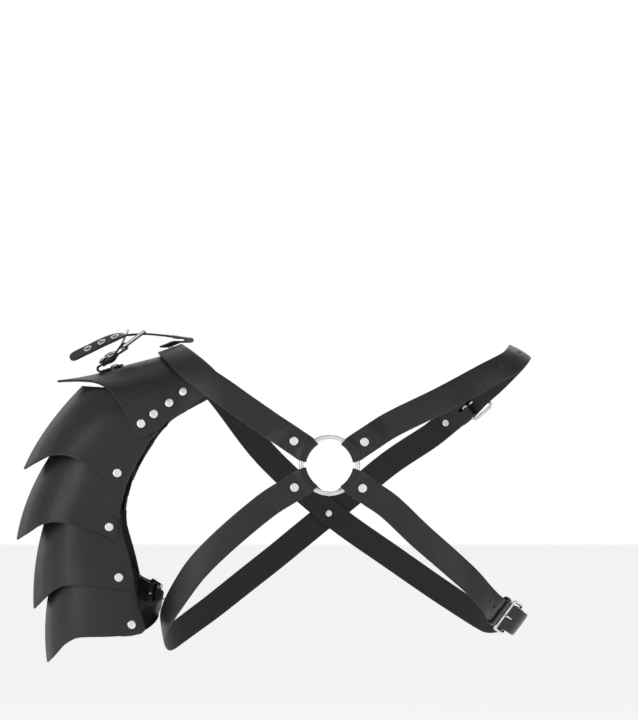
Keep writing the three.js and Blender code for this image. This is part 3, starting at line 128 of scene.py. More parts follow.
def leather_material(name, tint, scale=1.0):
    """Smooth finished leather: fine pebble grain, soft broad creases and a burnished edge."""
    m = bpy.data.materials.new(name)
    t, n, l, b = nodes_of(m)
    coord = n.new("ShaderNodeTexCoord")
    where = coord.outputs["Object"]

    def noise(s, detail, rough=0.55):
        x = n.new("ShaderNodeTexNoise")
        x.inputs["Scale"].default_value = s
        x.inputs["Detail"].default_value = detail
        x.inputs["Roughness"].default_value = rough
        l.new(where, x.inputs["Vector"])
        return x

    def ramp(source, stops):
        r = n.new("ShaderNodeValToRGB")
        r.color_ramp.elements[0].position, r.color_ramp.elements[0].color = stops[0][0], (*stops[0][1], 1)
        r.color_ramp.elements[1].position, r.color_ramp.elements[1].color = stops[-1][0], (*stops[-1][1], 1)
        for p, c in stops[1:-1]:
            e = r.color_ramp.elements.new(p)
            e.color = (*c, 1)
        l.new(source, r.inputs["Fac"])
        return r

    def math_node(op, a, c, clamp=False):
        x = n.new("ShaderNodeMath")
        x.operation = op
        x.use_clamp = clamp
        for k, v in enumerate((a, c)):
            if isinstance(v, (int, float)):
                x.inputs[k].default_value = v
            else:
                l.new(v, x.inputs[k])
        return x.outputs[0]

    cloud = noise(18 * scale, 4)
    mottle = noise(160 * scale, 6, 0.62)
    fine = noise(900 * scale, 3)
    grain = n.new("ShaderNodeTexVoronoi")
    grain.feature = "F1"
    grain.inputs["Scale"].default_value = 1150 * scale
    l.new(where, grain.inputs["Vector"])
    base = ramp(cloud.outputs["Fac"], [(0.3, tuple(0.82 * c for c in tint)), (0.52, tint), (0.75, tuple(1.22 * c for c in tint))])
    rim = n.new("ShaderNodeAttribute")
    rim.attribute_name = "rim"
    back = n.new("ShaderNodeAttribute")
    back.attribute_name = "back"
    # the edge is dyed and burnished darker, with small scuffs beside it
    scuff = math_node("MULTIPLY", math_node("MULTIPLY", rim.outputs["Fac"], 0.6, True), math_node("GREATER_THAN", mottle.outputs["Fac"], 0.56))
    edge = n.new("ShaderNodeMixRGB")
    edge.inputs["Color2"].default_value = (0.004, 0.004, 0.0045, 1)
    l.new(base.outputs["Color"], edge.inputs["Color1"])
    l.new(math_node("MULTIPLY", rim.outputs["Fac"], 0.75, True), edge.inputs["Fac"])
    worn = n.new("ShaderNodeMixRGB")
    worn.inputs["Color2"].default_value = (0.030, 0.029, 0.031, 1)
    l.new(edge.outputs["Color"], worn.inputs["Color1"])
    l.new(math_node("MULTIPLY", scuff, 0.35), worn.inputs["Fac"])
    flesh = n.new("ShaderNodeMixRGB")
    flesh.inputs["Color2"].default_value = (0.012, 0.0115, 0.012, 1)
    l.new(worn.outputs["Color"], flesh.inputs["Color1"])
    l.new(back.outputs["Fac"], flesh.inputs["Fac"])
    l.new(flesh.outputs["Color"], b.inputs["Base Color"])
    rough = math_node("ADD", math_node("MULTIPLY", mottle.outputs["Fac"], 0.16), 0.36)
    rough = math_node("ADD", rough, math_node("MULTIPLY", back.outputs["Fac"], 0.35), True)
    l.new(rough, b.inputs["Roughness"])
    b.inputs["Specular IOR Level"].default_value = 0.42
    b.inputs["Sheen Weight"].default_value = 0.02
    b.inputs["Sheen Roughness"].default_value = 0.4
    height = math_node("ADD", math_node("MULTIPLY", grain.outputs["Distance"], 0.5), math_node("MULTIPLY", fine.outputs["Fac"], 0.5))
    bump = n.new("ShaderNodeBump")
    bump.inputs["Strength"].default_value = 0.16
    bump.inputs["Distance"].default_value = 0.0004
    l.new(height, bump.inputs["Height"])
    wide = n.new("ShaderNodeBump")
    wide.inputs["Strength"].default_value = 0.22
    wide.inputs["Distance"].default_value = 0.0012
    l.new(noise(75 * scale, 3).outputs["Fac"], wide.inputs["Height"])
    l.new(bump.outputs["Normal"], wide.inputs["Normal"])
    l.new(wide.outputs["Normal"], b.inputs["Normal"])
    return m


def metal_material(name, tint, rough):
    """Nickel plate: faint polish lines, small dull specks and a slightly uneven gloss."""
    m = bpy.data.materials.new(name)
    t, n, l, b = nodes_of(m)
    coord = n.new("ShaderNodeTexCoord")
    cloud = n.new("ShaderNodeTexNoise")
    cloud.inputs["Scale"].default_value = 260
    cloud.inputs["Detail"].default_value = 5
    l.new(coord.outputs["Object"], cloud.inputs["Vector"])
    r = n.new("ShaderNodeValToRGB")
    r.color_ramp.elements[0].position, r.color_ramp.elements[0].color = 0.3, (*(0.82 * c for c in tint), 1)
    r.color_ramp.elements[1].position, r.color_ramp.elements[1].color = 0.7, (*tint, 1)
    l.new(cloud.outputs["Fac"], r.inputs["Fac"])
    l.new(r.outputs["Color"], b.inputs["Base Color"])
    mul = n.new("ShaderNodeMath")
    mul.operation = "MULTIPLY_ADD"
    mul.inputs[1].default_value = 0.14
    mul.inputs[2].default_value = rough
    l.new(cloud.outputs["Fac"], mul.inputs[0])
    l.new(mul.outputs[0], b.inputs["Roughness"])
    b.inputs["Metallic"].default_value = 1.0
    scratch = n.new("ShaderNodeTexNoise")
    scratch.inputs["Scale"].default_value = 1400
    scratch.inputs["Detail"].default_value = 2
    l.new(coord.outputs["Object"], scratch.inputs["Vector"])
    bump = n.new("ShaderNodeBump")
    bump.inputs["Strength"].default_value = 0.04
    bump.inputs["Distance"].default_value = 0.0002
    l.new(scratch.outputs["Fac"], bump.inputs["Height"])
    l.new(bump.outputs["Normal"], b.inputs["Normal"])
    return m


STRAP_LEATHER = leather_material("strap_leather", (0.0080, 0.0078, 0.0102))
PLATE_LEATHER_M = leather_material("plate_leather", (0.0070, 0.0069, 0.0080), 0.8)
HANGER_LEATHER_M = leather_material("hanger_leather", (0.011, 0.0105, 0.0105), 1.1)
NICKEL = metal_material("nickel", (0.72, 0.72, 0.71), 0.14)
NICKEL_CAP = metal_material("nickel_cap", (0.84, 0.84, 0.83), 0.26)

# ---------------------------------------------------------------- sizes, in millimetres
GAP = 0.35
RING_MID_RADIUS = 25.5
RING_WIRE_RADIUS = 2.0
PLATE_LEATHER = 2.2
PLATE_MID_Y = 6.0
LEATHER = 2.2
STRAP_HALF = 12.0
ARM_HALF = 10.0
HANGER_HALF = 7.5
HANGER_LEATHER = 1.8
BUCKLE_WIRE = 1.5
PRONG_RADIUS = 1.1
RUN = {"strap": 2.2, "hanger": 1.4}  # finest step along a strap

# ---------------------------------------------------------------- the worn form
FORM_LOBES = np.array([
    # cx, cy, cz, rx, ry, rz, power
    (0, 2, -172, 157, 110, 208, 2.8),
    (40, 6, -40, 156, 62, 60, 2.6),
    (-40, 6, -53, 190, 62, 50, 2.6),
])
FORM_BLEND = 8.0


def form_height(p):
    p = np.atleast_2d(p)
    d = []
    for cx, cy, cz, rx, ry, rz, power in FORM_LOBES:
        k = (np.abs((p[:, 0] - cx) / rx) ** power + np.abs((p[:, 1] - cy) / ry) ** power + np.abs((p[:, 2] - cz) / rz) ** power) ** (1 / power)
        d.append((k - 1) * min(rx, ry, rz))
    d = np.array(d)
    least = d.min(axis=0)
    return least - FORM_BLEND * np.log(np.exp((least - d) / FORM_BLEND).sum(axis=0))


def form_slope(p):
    p = np.atleast_2d(p)
    e = 0.05
    return np.stack([(form_height(p + e * a) - form_height(p - e * a)) / (2 * e) for a in np.eye(3)], axis=1)


def unit(v):
    v = np.asarray(v, float)
    return v / np.maximum(np.linalg.norm(v, axis=-1, keepdims=True), 1e-9)


def form_normal(p):
    return unit(form_slope(p))


def on_form(p, height):
    q = np.atleast_2d(np.array(p, float))
    for _ in range(12):
        g = form_slope(q)
        q = q + g * ((height - form_height(q)) / (g * g).sum(axis=1))[:, None]
    return q

# ---------------------------------------------------------------- curves and rows


def hermite(a, b, ta, tb, f):
    c2 = -3 * a + 3 * b - 2 * ta - tb
    c3 = 2 * a - 2 * b + ta + tb
    return a + ta * f + c2 * f * f + c3 * f ** 3


def around(points, k):
    n = len(points)
    p0 = points[k - 1] if k > 0 else 2 * points[0] - points[1]
    p3 = points[k + 2] if k + 2 < n else 2 * points[-1] - points[-2]
    return p0, points[k], points[k + 1], p3


def centripetal(points, k, f):
    p0, p1, p2, p3 = around(points, k)
    d0, d1, d2 = (np.linalg.norm(a - b) ** 0.5 for a, b in ((p0, p1), (p1, p2), (p2, p3)))
    d1 = d1 if d1 > 1e-4 else 1.0
    d0 = d0 if d0 > 1e-4 else d1
    d2 = d2 if d2 > 1e-4 else d1
    ta = ((p1 - p0) / d0 - (p2 - p0) / (d0 + d1) + (p2 - p1) / d1) * d1
    tb = ((p2 - p1) / d1 - (p3 - p1) / (d1 + d2) + (p3 - p2) / d2) * d1
    return hermite(p1, p2, ta, tb, f)


def uniform(points, k, f):
    p0, p1, p2, p3 = around(points, k)
    return hermite(p1, p2, 0.5 * (p2 - p0), 0.5 * (p3 - p1), f)


def smooth_value(rows, s):
    """rows of (parameter, value)."""
    lo = 0
    while lo < len(rows) - 2 and s > rows[lo + 1][0]:
        lo += 1
    f = (s - rows[lo][0]) / (rows[lo + 1][0] - rows[lo][0])
    return uniform(np.array([r[1] for r in rows], float), lo, f)


def smoothstep(x, a, b):
    t = min(max((x - a) / (b - a), 0.0), 1.0)
    return t * t * (3 - 2 * t)


class Frame:
    def __init__(self, o, x, z, bend=None):
        self.o = np.array(o, float)
        self.x = unit(x)
        z = np.array(z, float)
        self.z = unit(z - self.x * z.dot(self.x))
        self.y = np.cross(self.z, self.x)
        self.bend = bend

    def turned(self, s):
        return (s - self.bend[0]) / self.bend[1] if self.bend and s > self.bend[0] else 0.0

    def at(self, s, z):
        a = self.turned(s)
        if not a:
            return self.o + self.x * s + self.z * z
        start, r = self.bend
        return self.o + self.x * (start + (r + z) * math.sin(a)) + self.z * ((r + z) * math.cos(a) - r)

    def out(self, s):
        a = self.turned(s)
        return self.z * math.cos(a) + self.x * math.sin(a)


COLUMNS = np.array([-1, -0.5, 0, 0.5, 1])


def frame_key(f, s, z):
    p = f.at(s, z)
    return {"p": p, "n": f.out(s), "cling": 0.0, "h": float(form_height(p)[0])}


def form_key(x, y, z, h):
    p = on_form((x, y, z), h)[0]
    return {"p": p, "n": form_normal(p)[0], "cling": 1.0, "h": h}


def free_key(p, n):
    p = np.array(p, float)
    return {"p": p, "n": np.array(n, float), "cling": 0.0, "h": float(form_height(p)[0])}


def route(keys, half, step=16):
    points = [k["p"] for k in keys]
    last = len(keys) - 1
    rows = []
    for k in range(1, last - 1):
        count = max(1, math.ceil(np.linalg.norm(points[k] - points[k + 1]) / step))
        for i in range(count + (1 if k == last - 2 else 0)):
            f = i / count
            e = f * f * (3 - 2 * f)
            a, b = keys[k], keys[k + 1]
            cling = a["cling"] + (b["cling"] - a["cling"]) * e
            h = a["h"] + (b["h"] - a["h"]) * e
            kk, ff = (k, f) if f < 1 else (k + 1, 0.0)
            p = centripetal(points, kk, ff) if kk < last else points[last]
            n = unit(a["n"] * (1 - e) + b["n"] * e)
            if cling > 0:
                q = on_form(p, h)[0]
                p = p + (q - p) * cling
                n = unit(n * (1 - cling) + form_normal(q)[0] * cling)
            rows.append((p, n, cling, h))
    out = []
    for i, (p, n, cling, h) in enumerate(rows):
        a = rows[i - 1][0] if i > 0 else keys[0]["p"]
        b = rows[i + 1][0] if i < len(rows) - 1 else keys[last]["p"]
        w = unit(np.cross(n, unit(b - a)))
        line = p + np.outer(COLUMNS * half, w)
        if cling > 0:
            line = line + (on_form(line, h) - line) * cling
        out.append(line)
    return out


def frame_row(f, s, z, half, side=1, shift=None):
    return np.array([f.at(s - (shift(u) if shift else 0.0), z) + f.y * side * u * half for u in COLUMNS])


def fold(s, z, radius, steps=8):
    return [(s + radius * math.cos(a), z + radius * math.sin(a)) for a in (-math.pi / 2 - math.pi * k / steps for k in range(steps + 1))]


def tip_rows(f, s, z, half, side=1):
    return [frame_row(f, s + d, z, half * share, side) for d, share in ((0, 1), (4, 0.94), (7, 0.76), (8.6, 0.5), (9.3, 0.2))]


# ---------------------------------------------------------------- ring ends and buckles
RING_CENTRE = np.array([0, -107.3, -101.7])
FOLD_RADIUS = 3.5
RING_LIFT = 4.6
RING_ENDS = {
    "strap_right_shoulder": (-0.826, 0.563),
    "strap_left_shoulder": (0.832, 0.554),
    "strap_left_flank": (0.822, -0.569),
    "strap_right_flank": (-0.845, -0.535),
}
ring_frames = {k: Frame(RING_CENTRE, (x, 0, z), (0, -1, 0)) for k, (x, z) in RING_ENDS.items()}
LOOP_OVER = [(27.4, 7.6), (29.4, 6.2), (31.4, 4.7), (33.4, 3.95), (43, 3.8)]


def ring_rows(name):
    f = ring_frames[name]
    rows = []
    for s, z in [(43.5, 1.1), (36, 1.1), (30, 1.1), *fold(RING_MID_RADIUS, RING_LIFT, FOLD_RADIUS), *LOOP_OVER]:
        half = STRAP_HALF - 1.6 * (1 - smoothstep(s, 23, 29))
        fade = 1 - smoothstep(s, 28, 36)
        rows.append(frame_row(f, s, z, half, 1, lambda u, half=half, fade=fade: (RING_MID_RADIUS - math.sqrt(RING_MID_RADIUS ** 2 - (u * half) ** 2)) * fade))
    return rows


def ring_lead(name):
    f = ring_frames[name]
    return [frame_key(f, 36, 3.95), frame_key(f, 43, 3.8), frame_key(f, 48, 3.3), form_key(*f.at(64, 0), 1.4)]


back_spot = on_form((130, 84, -52), 5.2)[0]
BUCKLES = {
    # frame, length, width, leather
    "side": dict(frame=Frame((169.2, -16.5, -247.1), (8.2, 21.5, -6.1), (0.7245, -0.4293, -0.5393), (5, 34)), length=23.0, width=31, leather=LEATHER),
    "back": dict(frame=Frame(back_spot, (-30, 17, -27), form_normal(back_spot)[0], (5, 120)), length=23.0, width=31, leather=LEATHER),
    "arm": dict(frame=Frame((-165.6, 9.3, -223.8), (-0.41, 0.89, 0.2), (0.91, 0.42, 0), (5, 110)), length=22.0, width=26, leather=LEATHER),
    "hanger": dict(frame=Frame((-190.9, PLATE_MID_Y, 5.5), (-0.8, 0, -0.6), (-0.6, 0, 0.8)), length=23.6, width=21, leather=HANGER_LEATHER),
}
CARRIER_OVER = [(30, -0.45), (25, -0.42), (20, -0.4), (16.5, -0.3), (13, 0.0), (8, 1.1), (4, 2.6)]


def carrier_rows(name, half, under):
    b = BUCKLES[name]
    r = BUCKLE_WIRE + GAP + b["leather"] / 2
    path = [q for q in CARRIER_OVER if q[0] <= under + 3] + fold(0, 0, r)[::-1] + [(5, -3.0)] + [(11 + (under - 11) * f, -3.04) for f in (0, 0.3, 0.65, 1)]
    return [frame_row(b["frame"], s, z, half, -1) for s, z in path]


def tongue_rows(name, half):
    b = BUCKLES[name]
    L = b["length"]
    lift, reach = (0.75, 8.5) if name == "arm" else (0.0, 10.5)
    path = [(-L - 9, -3.05), (-L - 2, -3.1), (-L + 2, -2.9), (-L + 6, -1.4), (-10, 2.0), (-5, 4.7), (-1, 5.8), (3, 5.95), (6.5, 5.3)]
    return [frame_row(b["frame"], s, z + (lift if s > -6 else 0), half) for s, z in path] + tip_rows(b["frame"], reach, 4.6 + lift, half)


OVER_PLATE = 4.9
CROSSING = 4.4
side, back, arm, hanger = (BUCKLES[k]["frame"] for k in ("side", "back", "arm", "hanger"))
straps = {}
straps["strap_right_shoulder"] = ring_rows("strap_right_shoulder") + route([
    *ring_lead("strap_right_shoulder"),
    form_key(-78, -93, -49, 2.0), form_key(-92.3, -85.9, -39, 4.2),
    form_key(-115.3, -68.2, -23.8, OVER_PLATE), form_key(-132.4, -48.6, -10.7, OVER_PLATE),
    form_key(-144, -22, -2, OVER_PLATE), form_key(-147, 6, 0.4, OVER_PLATE),
    form_key(-143, 36, -6, OVER_PLATE), form_key(-132.4, 60.6, -12, OVER_PLATE),
    form_key(-116, 79, -26, OVER_PLATE), form_key(-98, 92, -48, 4.4),
    form_key(-60, 104, -98, 1.4), form_key(0, 112, -153, 1.4),
    form_key(60, 108, -196, 1.4), form_key(112, 90, -232, 1.4), form_key(145, 55, -252, 3.0),
    frame_key(side, 38, -0.45), frame_key(side, 30, -0.45), frame_key(side, 20, -0.4),
], STRAP_HALF)[1:-1] + carrier_rows("side", STRAP_HALF, 27)
straps["strap_left_shoulder"] = ring_rows("strap_left_shoulder") + route([
    *ring_lead("strap_left_shoulder"),
    form_key(100.3, -84.2, -44, 1.4), form_key(141.5, -54.7, -22.5, 1.4),
    form_key(168.2, -34.9, -7.9, 1.4), form_key(177, 2, 0, 1.4), form_key(172, 38, -10, 1.4),
    frame_key(back, -37, -3.05), frame_key(back, -32, -3.05), frame_key(back, -25, -3.1),
], STRAP_HALF)[1:-1] + tongue_rows("back", STRAP_HALF)
straps["strap_left_flank"] = ring_rows("strap_left_flank") + route([
    *ring_lead("strap_left_flank"),
    form_key(81.7, -102.7, -165.6, 1.4), form_key(109.4, -93.2, -190.1, 1.4), form_key(132.4, -77.3, -212.5, 2.4),
    frame_key(side, -45, -3.05), frame_key(side, -32, -3.05), frame_key(side, -25, -3.1),
], STRAP_HALF)[1:-1] + tongue_rows("side", STRAP_HALF)
straps["strap_right_flank"] = ring_rows("strap_right_flank") + route([
    *ring_lead("strap_right_flank"),
    form_key(-99.9, -97.2, -174.8, 1.4), form_key(-120.7, -86.8, -196.5, 1.4),
    form_key(-139, -68, -224, 1.4), form_key(-152, -38, -248, 1.4), form_key(-157, 0, -263, 1.4),
    form_key(-150, 45, -268, 1.4), form_key(-115, 88, -246, 1.4), form_key(-55, 108, -199, 1.6),
    form_key(-22, 112, -172, CROSSING), form_key(22, 112, -136, CROSSING), form_key(58, 107, -106, 1.6),
    frame_key(back, 42, -0.45), frame_key(back, 30, -0.45), frame_key(back, 20, -0.4),
], STRAP_HALF)[1:-1] + carrier_rows("back", STRAP_HALF, 27)

# ---------------------------------------------------------------- meshes


def grid_normals(P):
    a = np.empty_like(P)
    a[1:-1] = P[2:] - P[:-2]
    a[0], a[-1] = P[1] - P[0], P[-1] - P[-2]
    b = np.empty_like(P)
    b[:, 1:-1] = P[:, 2:] - P[:, :-2]
    b[:, 0], b[:, -1] = P[:, 1] - P[:, 0], P[:, -1] - P[:, -2]
    return unit(np.cross(a, b))


def refine(rows, run, across=9):
    """A fine grid through a strap's rows."""
    rows = [np.array(r) for r in rows]
    mids = [r[2] for r in rows]
    fine = []
    for k in range(len(rows) - 1):
        count = max(1, math.ceil(np.linalg.norm(mids[k + 1] - mids[k]) / run))
        for i in range(count):
            f = i / count
            p0, p1, p2, p3 = around(rows, k)
            d = [max(np.linalg.norm(a[2] - b[2]) ** 0.5, 0.3) for a, b in ((p0, p1), (p1, p2), (p2, p3))]
            ta = ((p1 - p0) / d[0] - (p2 - p0) / (d[0] + d[1]) + (p2 - p1) / d[1]) * d[1]
            tb = ((p2 - p1) / d[1] - (p3 - p1) / (d[1] + d[2]) + (p3 - p2) / d[2]) * d[1]
            fine.append(hermite(p1, p2, ta, tb, f))
    fine.append(rows[-1])
    P = np.array(fine)
    cols = []
    for c in range(across):
        x = 4 * c / (across - 1)
        k = min(int(x), 3)
        cols.append(uniform([P[:, j] for j in range(5)], k, x - k))
    return np.stack(cols, axis=1)


def slab(name, P, thickness, material, crown=0.0, round_to=0.75, ends=(True, True)):
    """A closed sheet of leather of even thickness round the grid P, with rounded edges."""
    mid = P.shape[1] // 2
    while len(P) > 4 and np.linalg.norm(P[1, mid] - P[0, mid]) < 1.4 * round_to:
        P = np.delete(P, 1, axis=0)
    while len(P) > 4 and np.linalg.norm(P[-1, mid] - P[-2, mid]) < 1.4 * round_to:
        P = np.delete(P, -2, axis=0)
    N = grid_normals(P)
    rows = [(P[i], N[i], 1.0) for i in range(len(P))]
    for end, first, second in ((0, 0, 1), (1, -1, -2)):
        if not ends[end]:
            continue
        step = unit(P[second] - P[first])
        extra = [(P[first], N[first], 0.45), (P[first] + step * round_to * 0.35, N[first], 0.82), (P[first] + step * round_to, N[first], 1.0)]
        if end == 0:
            rows = extra + rows[1:]
        else:
            rows = rows[:-1] + extra[::-1]
    verts, rim, back = [], [], []
    C = P.shape[1]
    for line, normal, share in rows:
        t = thickness / 2 * share
        r = min(round_to, thickness / 2 * 0.8) * (0.4 + 0.6 * share)
        top, bottom = [], []
        inner = line.copy()
        a, b = line[1] - line[0], line[-2] - line[-1]
        la, lb = np.linalg.norm(a), np.linalg.norm(b)
        inner[0] = line[0] + a / max(la, 1e-6) * min(r, 0.45 * la)
        inner[-1] = line[-1] + b / max(lb, 1e-6) * min(r, 0.45 * lb)
        middle = np.linspace(-1, 1, C)
        lift = crown * (1 - middle ** 2) * share
        top = inner + normal * (t + lift)[:, None]
        bottom = inner - normal * t
        e0 = line[0] * 0.72 + inner[0] * 0.28
        e1 = line[-1] * 0.72 + inner[-1] * 0.28
        loop = [*top, e1 + normal[-1] * t * 0.72, line[-1], e1 - normal[-1] * t * 0.72, *bottom[::-1], e0 - normal[0] * t * 0.72, line[0], e0 + normal[0] * t * 0.72]
        verts += loop
        edge = [1.0, 0.35] + [0.0] * (C - 4) + [0.35, 1.0]
        if share < 1:
            edge = [1.0] * C
        rim += edge + [1, 1, 1] + edge[::-1] + [1, 1, 1]
        back += [0.0] * C + [0.25, 0.5, 0.75] + [1.0] * C + [0.75, 0.5, 0.25]
    M = 2 * C + 6
    faces = []
    n = len(rows)
    for i in range(n - 1):
        for k in range(M):
            a, b = i * M + k, i * M + (k + 1) % M
            faces.append((a, b, b + M, a + M))
    for base, order in ((0, 1), ((n - 1) * M, -1)):
        ring = []
        for j in range(C - 1):
            ring.append((base + j, base + 2 * C + 2 - j, base + 2 * C + 1 - j, base + j + 1))
        ring.append((base + C - 1, base + C + 3, base + C + 2, base + C + 1, base + C))
        ring.append((base, base + M - 1, base + M - 2, base + M - 3, base + 2 * C + 2))
        faces += [f if order > 0 else tuple(reversed(f)) for f in ring]
    mesh = bpy.data.meshes.new(name)
    mesh.from_pydata([tuple(v * MM) for v in verts], [], faces)
    for label, values in (("rim", rim), ("back", back)):
        att = mesh.attributes.new(label, "FLOAT", "POINT")
        att.data.foreach_set("value", values)
    return finish_mesh(name, mesh, material)


def finish_mesh(name, mesh, material, smooth=True):
    mesh.validate()
    bm = bmesh.new()
    bm.from_mesh(mesh)
    bmesh.ops.recalc_face_normals(bm, faces=bm.faces)
    bm.to_mesh(mesh)
    bm.free()
    if smooth:
        mesh.polygons.foreach_set("use_smooth", [True] * len(mesh.polygons))
    mesh.materials.append(material)
    mesh.update()
    o = bpy.data.objects.new(name, mesh)
    bpy.context.scene.collection.objects.link(o)
    return o


def wire(name, points, radius, material, sides=20, closed=False, cap_round=True):
    points = [np.array(p, float) for p in points]
    n = len(points)
    tangents = [unit(points[(i + 1) % n if closed else min(i + 1, n - 1)] - points[(i - 1) % n if closed else max(i - 1, 0)]) for i in range(n)]
    middle = sum(points) / n
    guide = np.cross(tangents[0], tangents[n // 3])
    if np.linalg.norm(guide) < 1e-3:
        guide = np.cross(tangents[0], (0.3, 0.5, 0.8))
    guide = unit(guide)
    verts, faces = [], []
    radii = [radius] * n
    if not closed and cap_round:
        head = [(0.0, 0.35), (0.35, 0.8), (0.9, 1.0)]
        first = [(points[0] + tangents[0] * radius * (d - 0.9), radius * s) for d, s in head]
        tail = [(points[-1] - tangents[-1] * radius * (d - 0.9), radius * s) for d, s in head][::-1]
        points = [p for p, _ in first] + points[1:-1] + [p for p, _ in tail]
        radii = [r for _, r in first] + radii[1:-1] + [r for _, r in tail]
        tangents = [tangents[0]] * 3 + tangents[1:-1] + [tangents[-1]] * 3
        n = len(points)
    for p, t, r in zip(points, tangents, radii):
        s = unit(guide - t * guide.dot(t))
        u = np.cross(t, s)
        guide = guide if closed else s
        for k in range(sides):
            a = 2 * math.pi * k / sides
            verts.append(p + (s * math.cos(a) + u * math.sin(a)) * r)
    for i in range(n if closed else n - 1):
        j = (i + 1) % n
        for k in range(sides):
            m = (k + 1) % sides
            faces.append((i * sides + k, i * sides + m, j * sides + m, j * sides + k))
    if not closed:
        faces.append(tuple(reversed(range(sides))))
        faces.append(tuple((n - 1) * sides + k for k in range(sides)))
    mesh = bpy.data.meshes.new(name)
    mesh.from_pydata([tuple(np.array(v) * MM) for v in verts], [], faces)
    return finish_mesh(name, mesh, material)


def turned_mesh(name, profile, at, axis, material, sides=40):
    """A turned piece: profile of (radius, height) from the top round to the bottom."""
    axis = unit(axis)
    s = unit(np.cross(axis, (0.13, 0.27, 0.95) if abs(axis[2]) < 0.9 else (0.95, 0.2, 0.1)))
    u = np.cross(axis, s)
    verts, faces, rings = [], [], []
    for r, h in profile:
        if r < 1e-6:
            rings.append([len(verts)])
            verts.append(at + axis * h)
        else:
            rings.append(list(range(len(verts), len(verts) + sides)))
            verts += [at + axis * h + (s * math.cos(a) + u * math.sin(a)) * r for a in (2 * math.pi * k / sides for k in range(sides))]
    closed = profile[0][0] > 1e-6
    pairs = list(zip(rings, rings[1:])) + ([(rings[-1], rings[0])] if closed else [])
    for a, b in pairs:
        for k in range(sides):
            m = (k + 1) % sides
            if len(a) == 1:
                faces.append((a[0], b[m], b[k]))
            elif len(b) == 1:
                faces.append((a[k], a[m], b[0]))
            else:
                faces.append((a[k], a[m], b[m], b[k]))
    mesh = bpy.data.meshes.new(name)
    mesh.from_pydata([tuple(v * MM) for v in verts], [], faces)
    return finish_mesh(name, mesh, material)

# ---------------------------------------------------------------- pauldron plates
RULINGS, COURSES = 11, 6
PLATES = [
    dict(name="plate_1", half_depth=71, edge_bow=0, bulge=0, sag=3,
         lower=[  # phi, x, z
             (0, -253.3, -27.0), (9, -244.3, -26.5), (20, -231.4, -26.2), (33, -217.6, -27.3),
             (46, -206.7, -31.4), (57, -198.9, -37.7), (68, -190.4, -49.7), (76, -185.2, -59.9),
             (83, -180.5, -69.0), (88, -176.8, -75.4), (92, -171.8, -78.1), (97, -165.5, -74.9)],
         upper=[  # phi, x, depth, z
             (0, -142.6, 0, -2.5), (30, -137.0, 30, -3.5), (60, -127.0, 56, -12.0), (97, -108.0, 83, -36.5)]),
    dict(name="plate_2", half_depth=65, edge_bow=9, bulge=5.5, sag=0,
         lower=[
             (0, -284.0, -108.8), (21, -273.2, -102.1), (37, -261.0, -96.2), (50, -250.1, -94.2),
             (62, -239.5, -95.0), (74, -229.2, -99.1), (86, -216.8, -106.5), (95, -204.3, -114.9),
             (101, -197.1, -121.4), (105, -192.5, -124.4), (108, -188.5, -123.7), (111, -185.2, -119.5)],
         upper=[
             (0, -229.0, 0, -31.5), (30, -218.0, 31, -32.3), (60, -189.0, 54, -33.5),
             (90, -148.0, 67, -28.0), (111, -121.0, 74, -36.0)]),
    dict(name="plate_3", half_depth=61.5, edge_bow=2, bulge=7, sag=0,
         lower=[
             (0, -290.4, -174.4), (20, -280.5, -168.0), (36, -269.4, -160.8), (50, -256.7, -156.4),
             (61, -245.2, -156.6), (72, -233.0, -159.9), (84, -215.0, -164.8), (92, -205.5, -168.9),
             (96, -200.0, -172.7), (99, -195.9, -173.5), (102, -192.2, -170.2), (105, -190.6, -163.7)],
         upper=[
             (0, -248.0, 0, -80.0), (30, -241.0, 30, -80.0), (60, -221.0, 51, -82.0),
             (85, -199.0, 60, -88.0), (105, -180.0, 60, -96.0)]),
    dict(name="plate_4", half_depth=58, edge_bow=1, bulge=5, sag=0,
         lower=[
             (0, -274.5, -238.6), (22, -263.4, -227.4), (36, -254.5, -220.1), (48, -245.9, -215.6),
             (62, -233.4, -214.4), (82, -213.2, -214.5), (100, -193.3, -217.3), (108, -186.5, -218.1),
             (112, -182.0, -217.6), (115, -179.8, -214.0), (117, -179.2, -209.0)],
         upper=[
             (0, -259.0, 0, -142.0), (30, -251.0, 29, -142.0), (60, -232.0, 49, -142.5),
             (90, -205.0, 57.5, -144.5), (117, -190.5, 56, -149.0)]),
    dict(name="plate_5", half_depth=55, edge_bow=0, bulge=5, sag=0,
         lower=[
             (0, -262.0, -288.5), (20, -255.5, -281.8), (36, -246.6, -271.7), (48, -238.1, -265.6),
             (58, -228.7, -262.2), (80, -203.4, -261.0), (100, -185.5, -260.0), (112, -175.7, -259.1),
             (117, -171.2, -257.6), (120, -168.8, -253.7), (122, -169.2, -247.8)],
         upper=[
             (0, -254.0, 0, -196.0), (30, -247.0, 27, -195.5), (60, -230.0, 46, -195.5),
             (90, -204.0, 54, -197.0), (122, -184.5, 49, -203.0)]),
]
FINE_RULINGS, FINE_COURSES = 66, 42


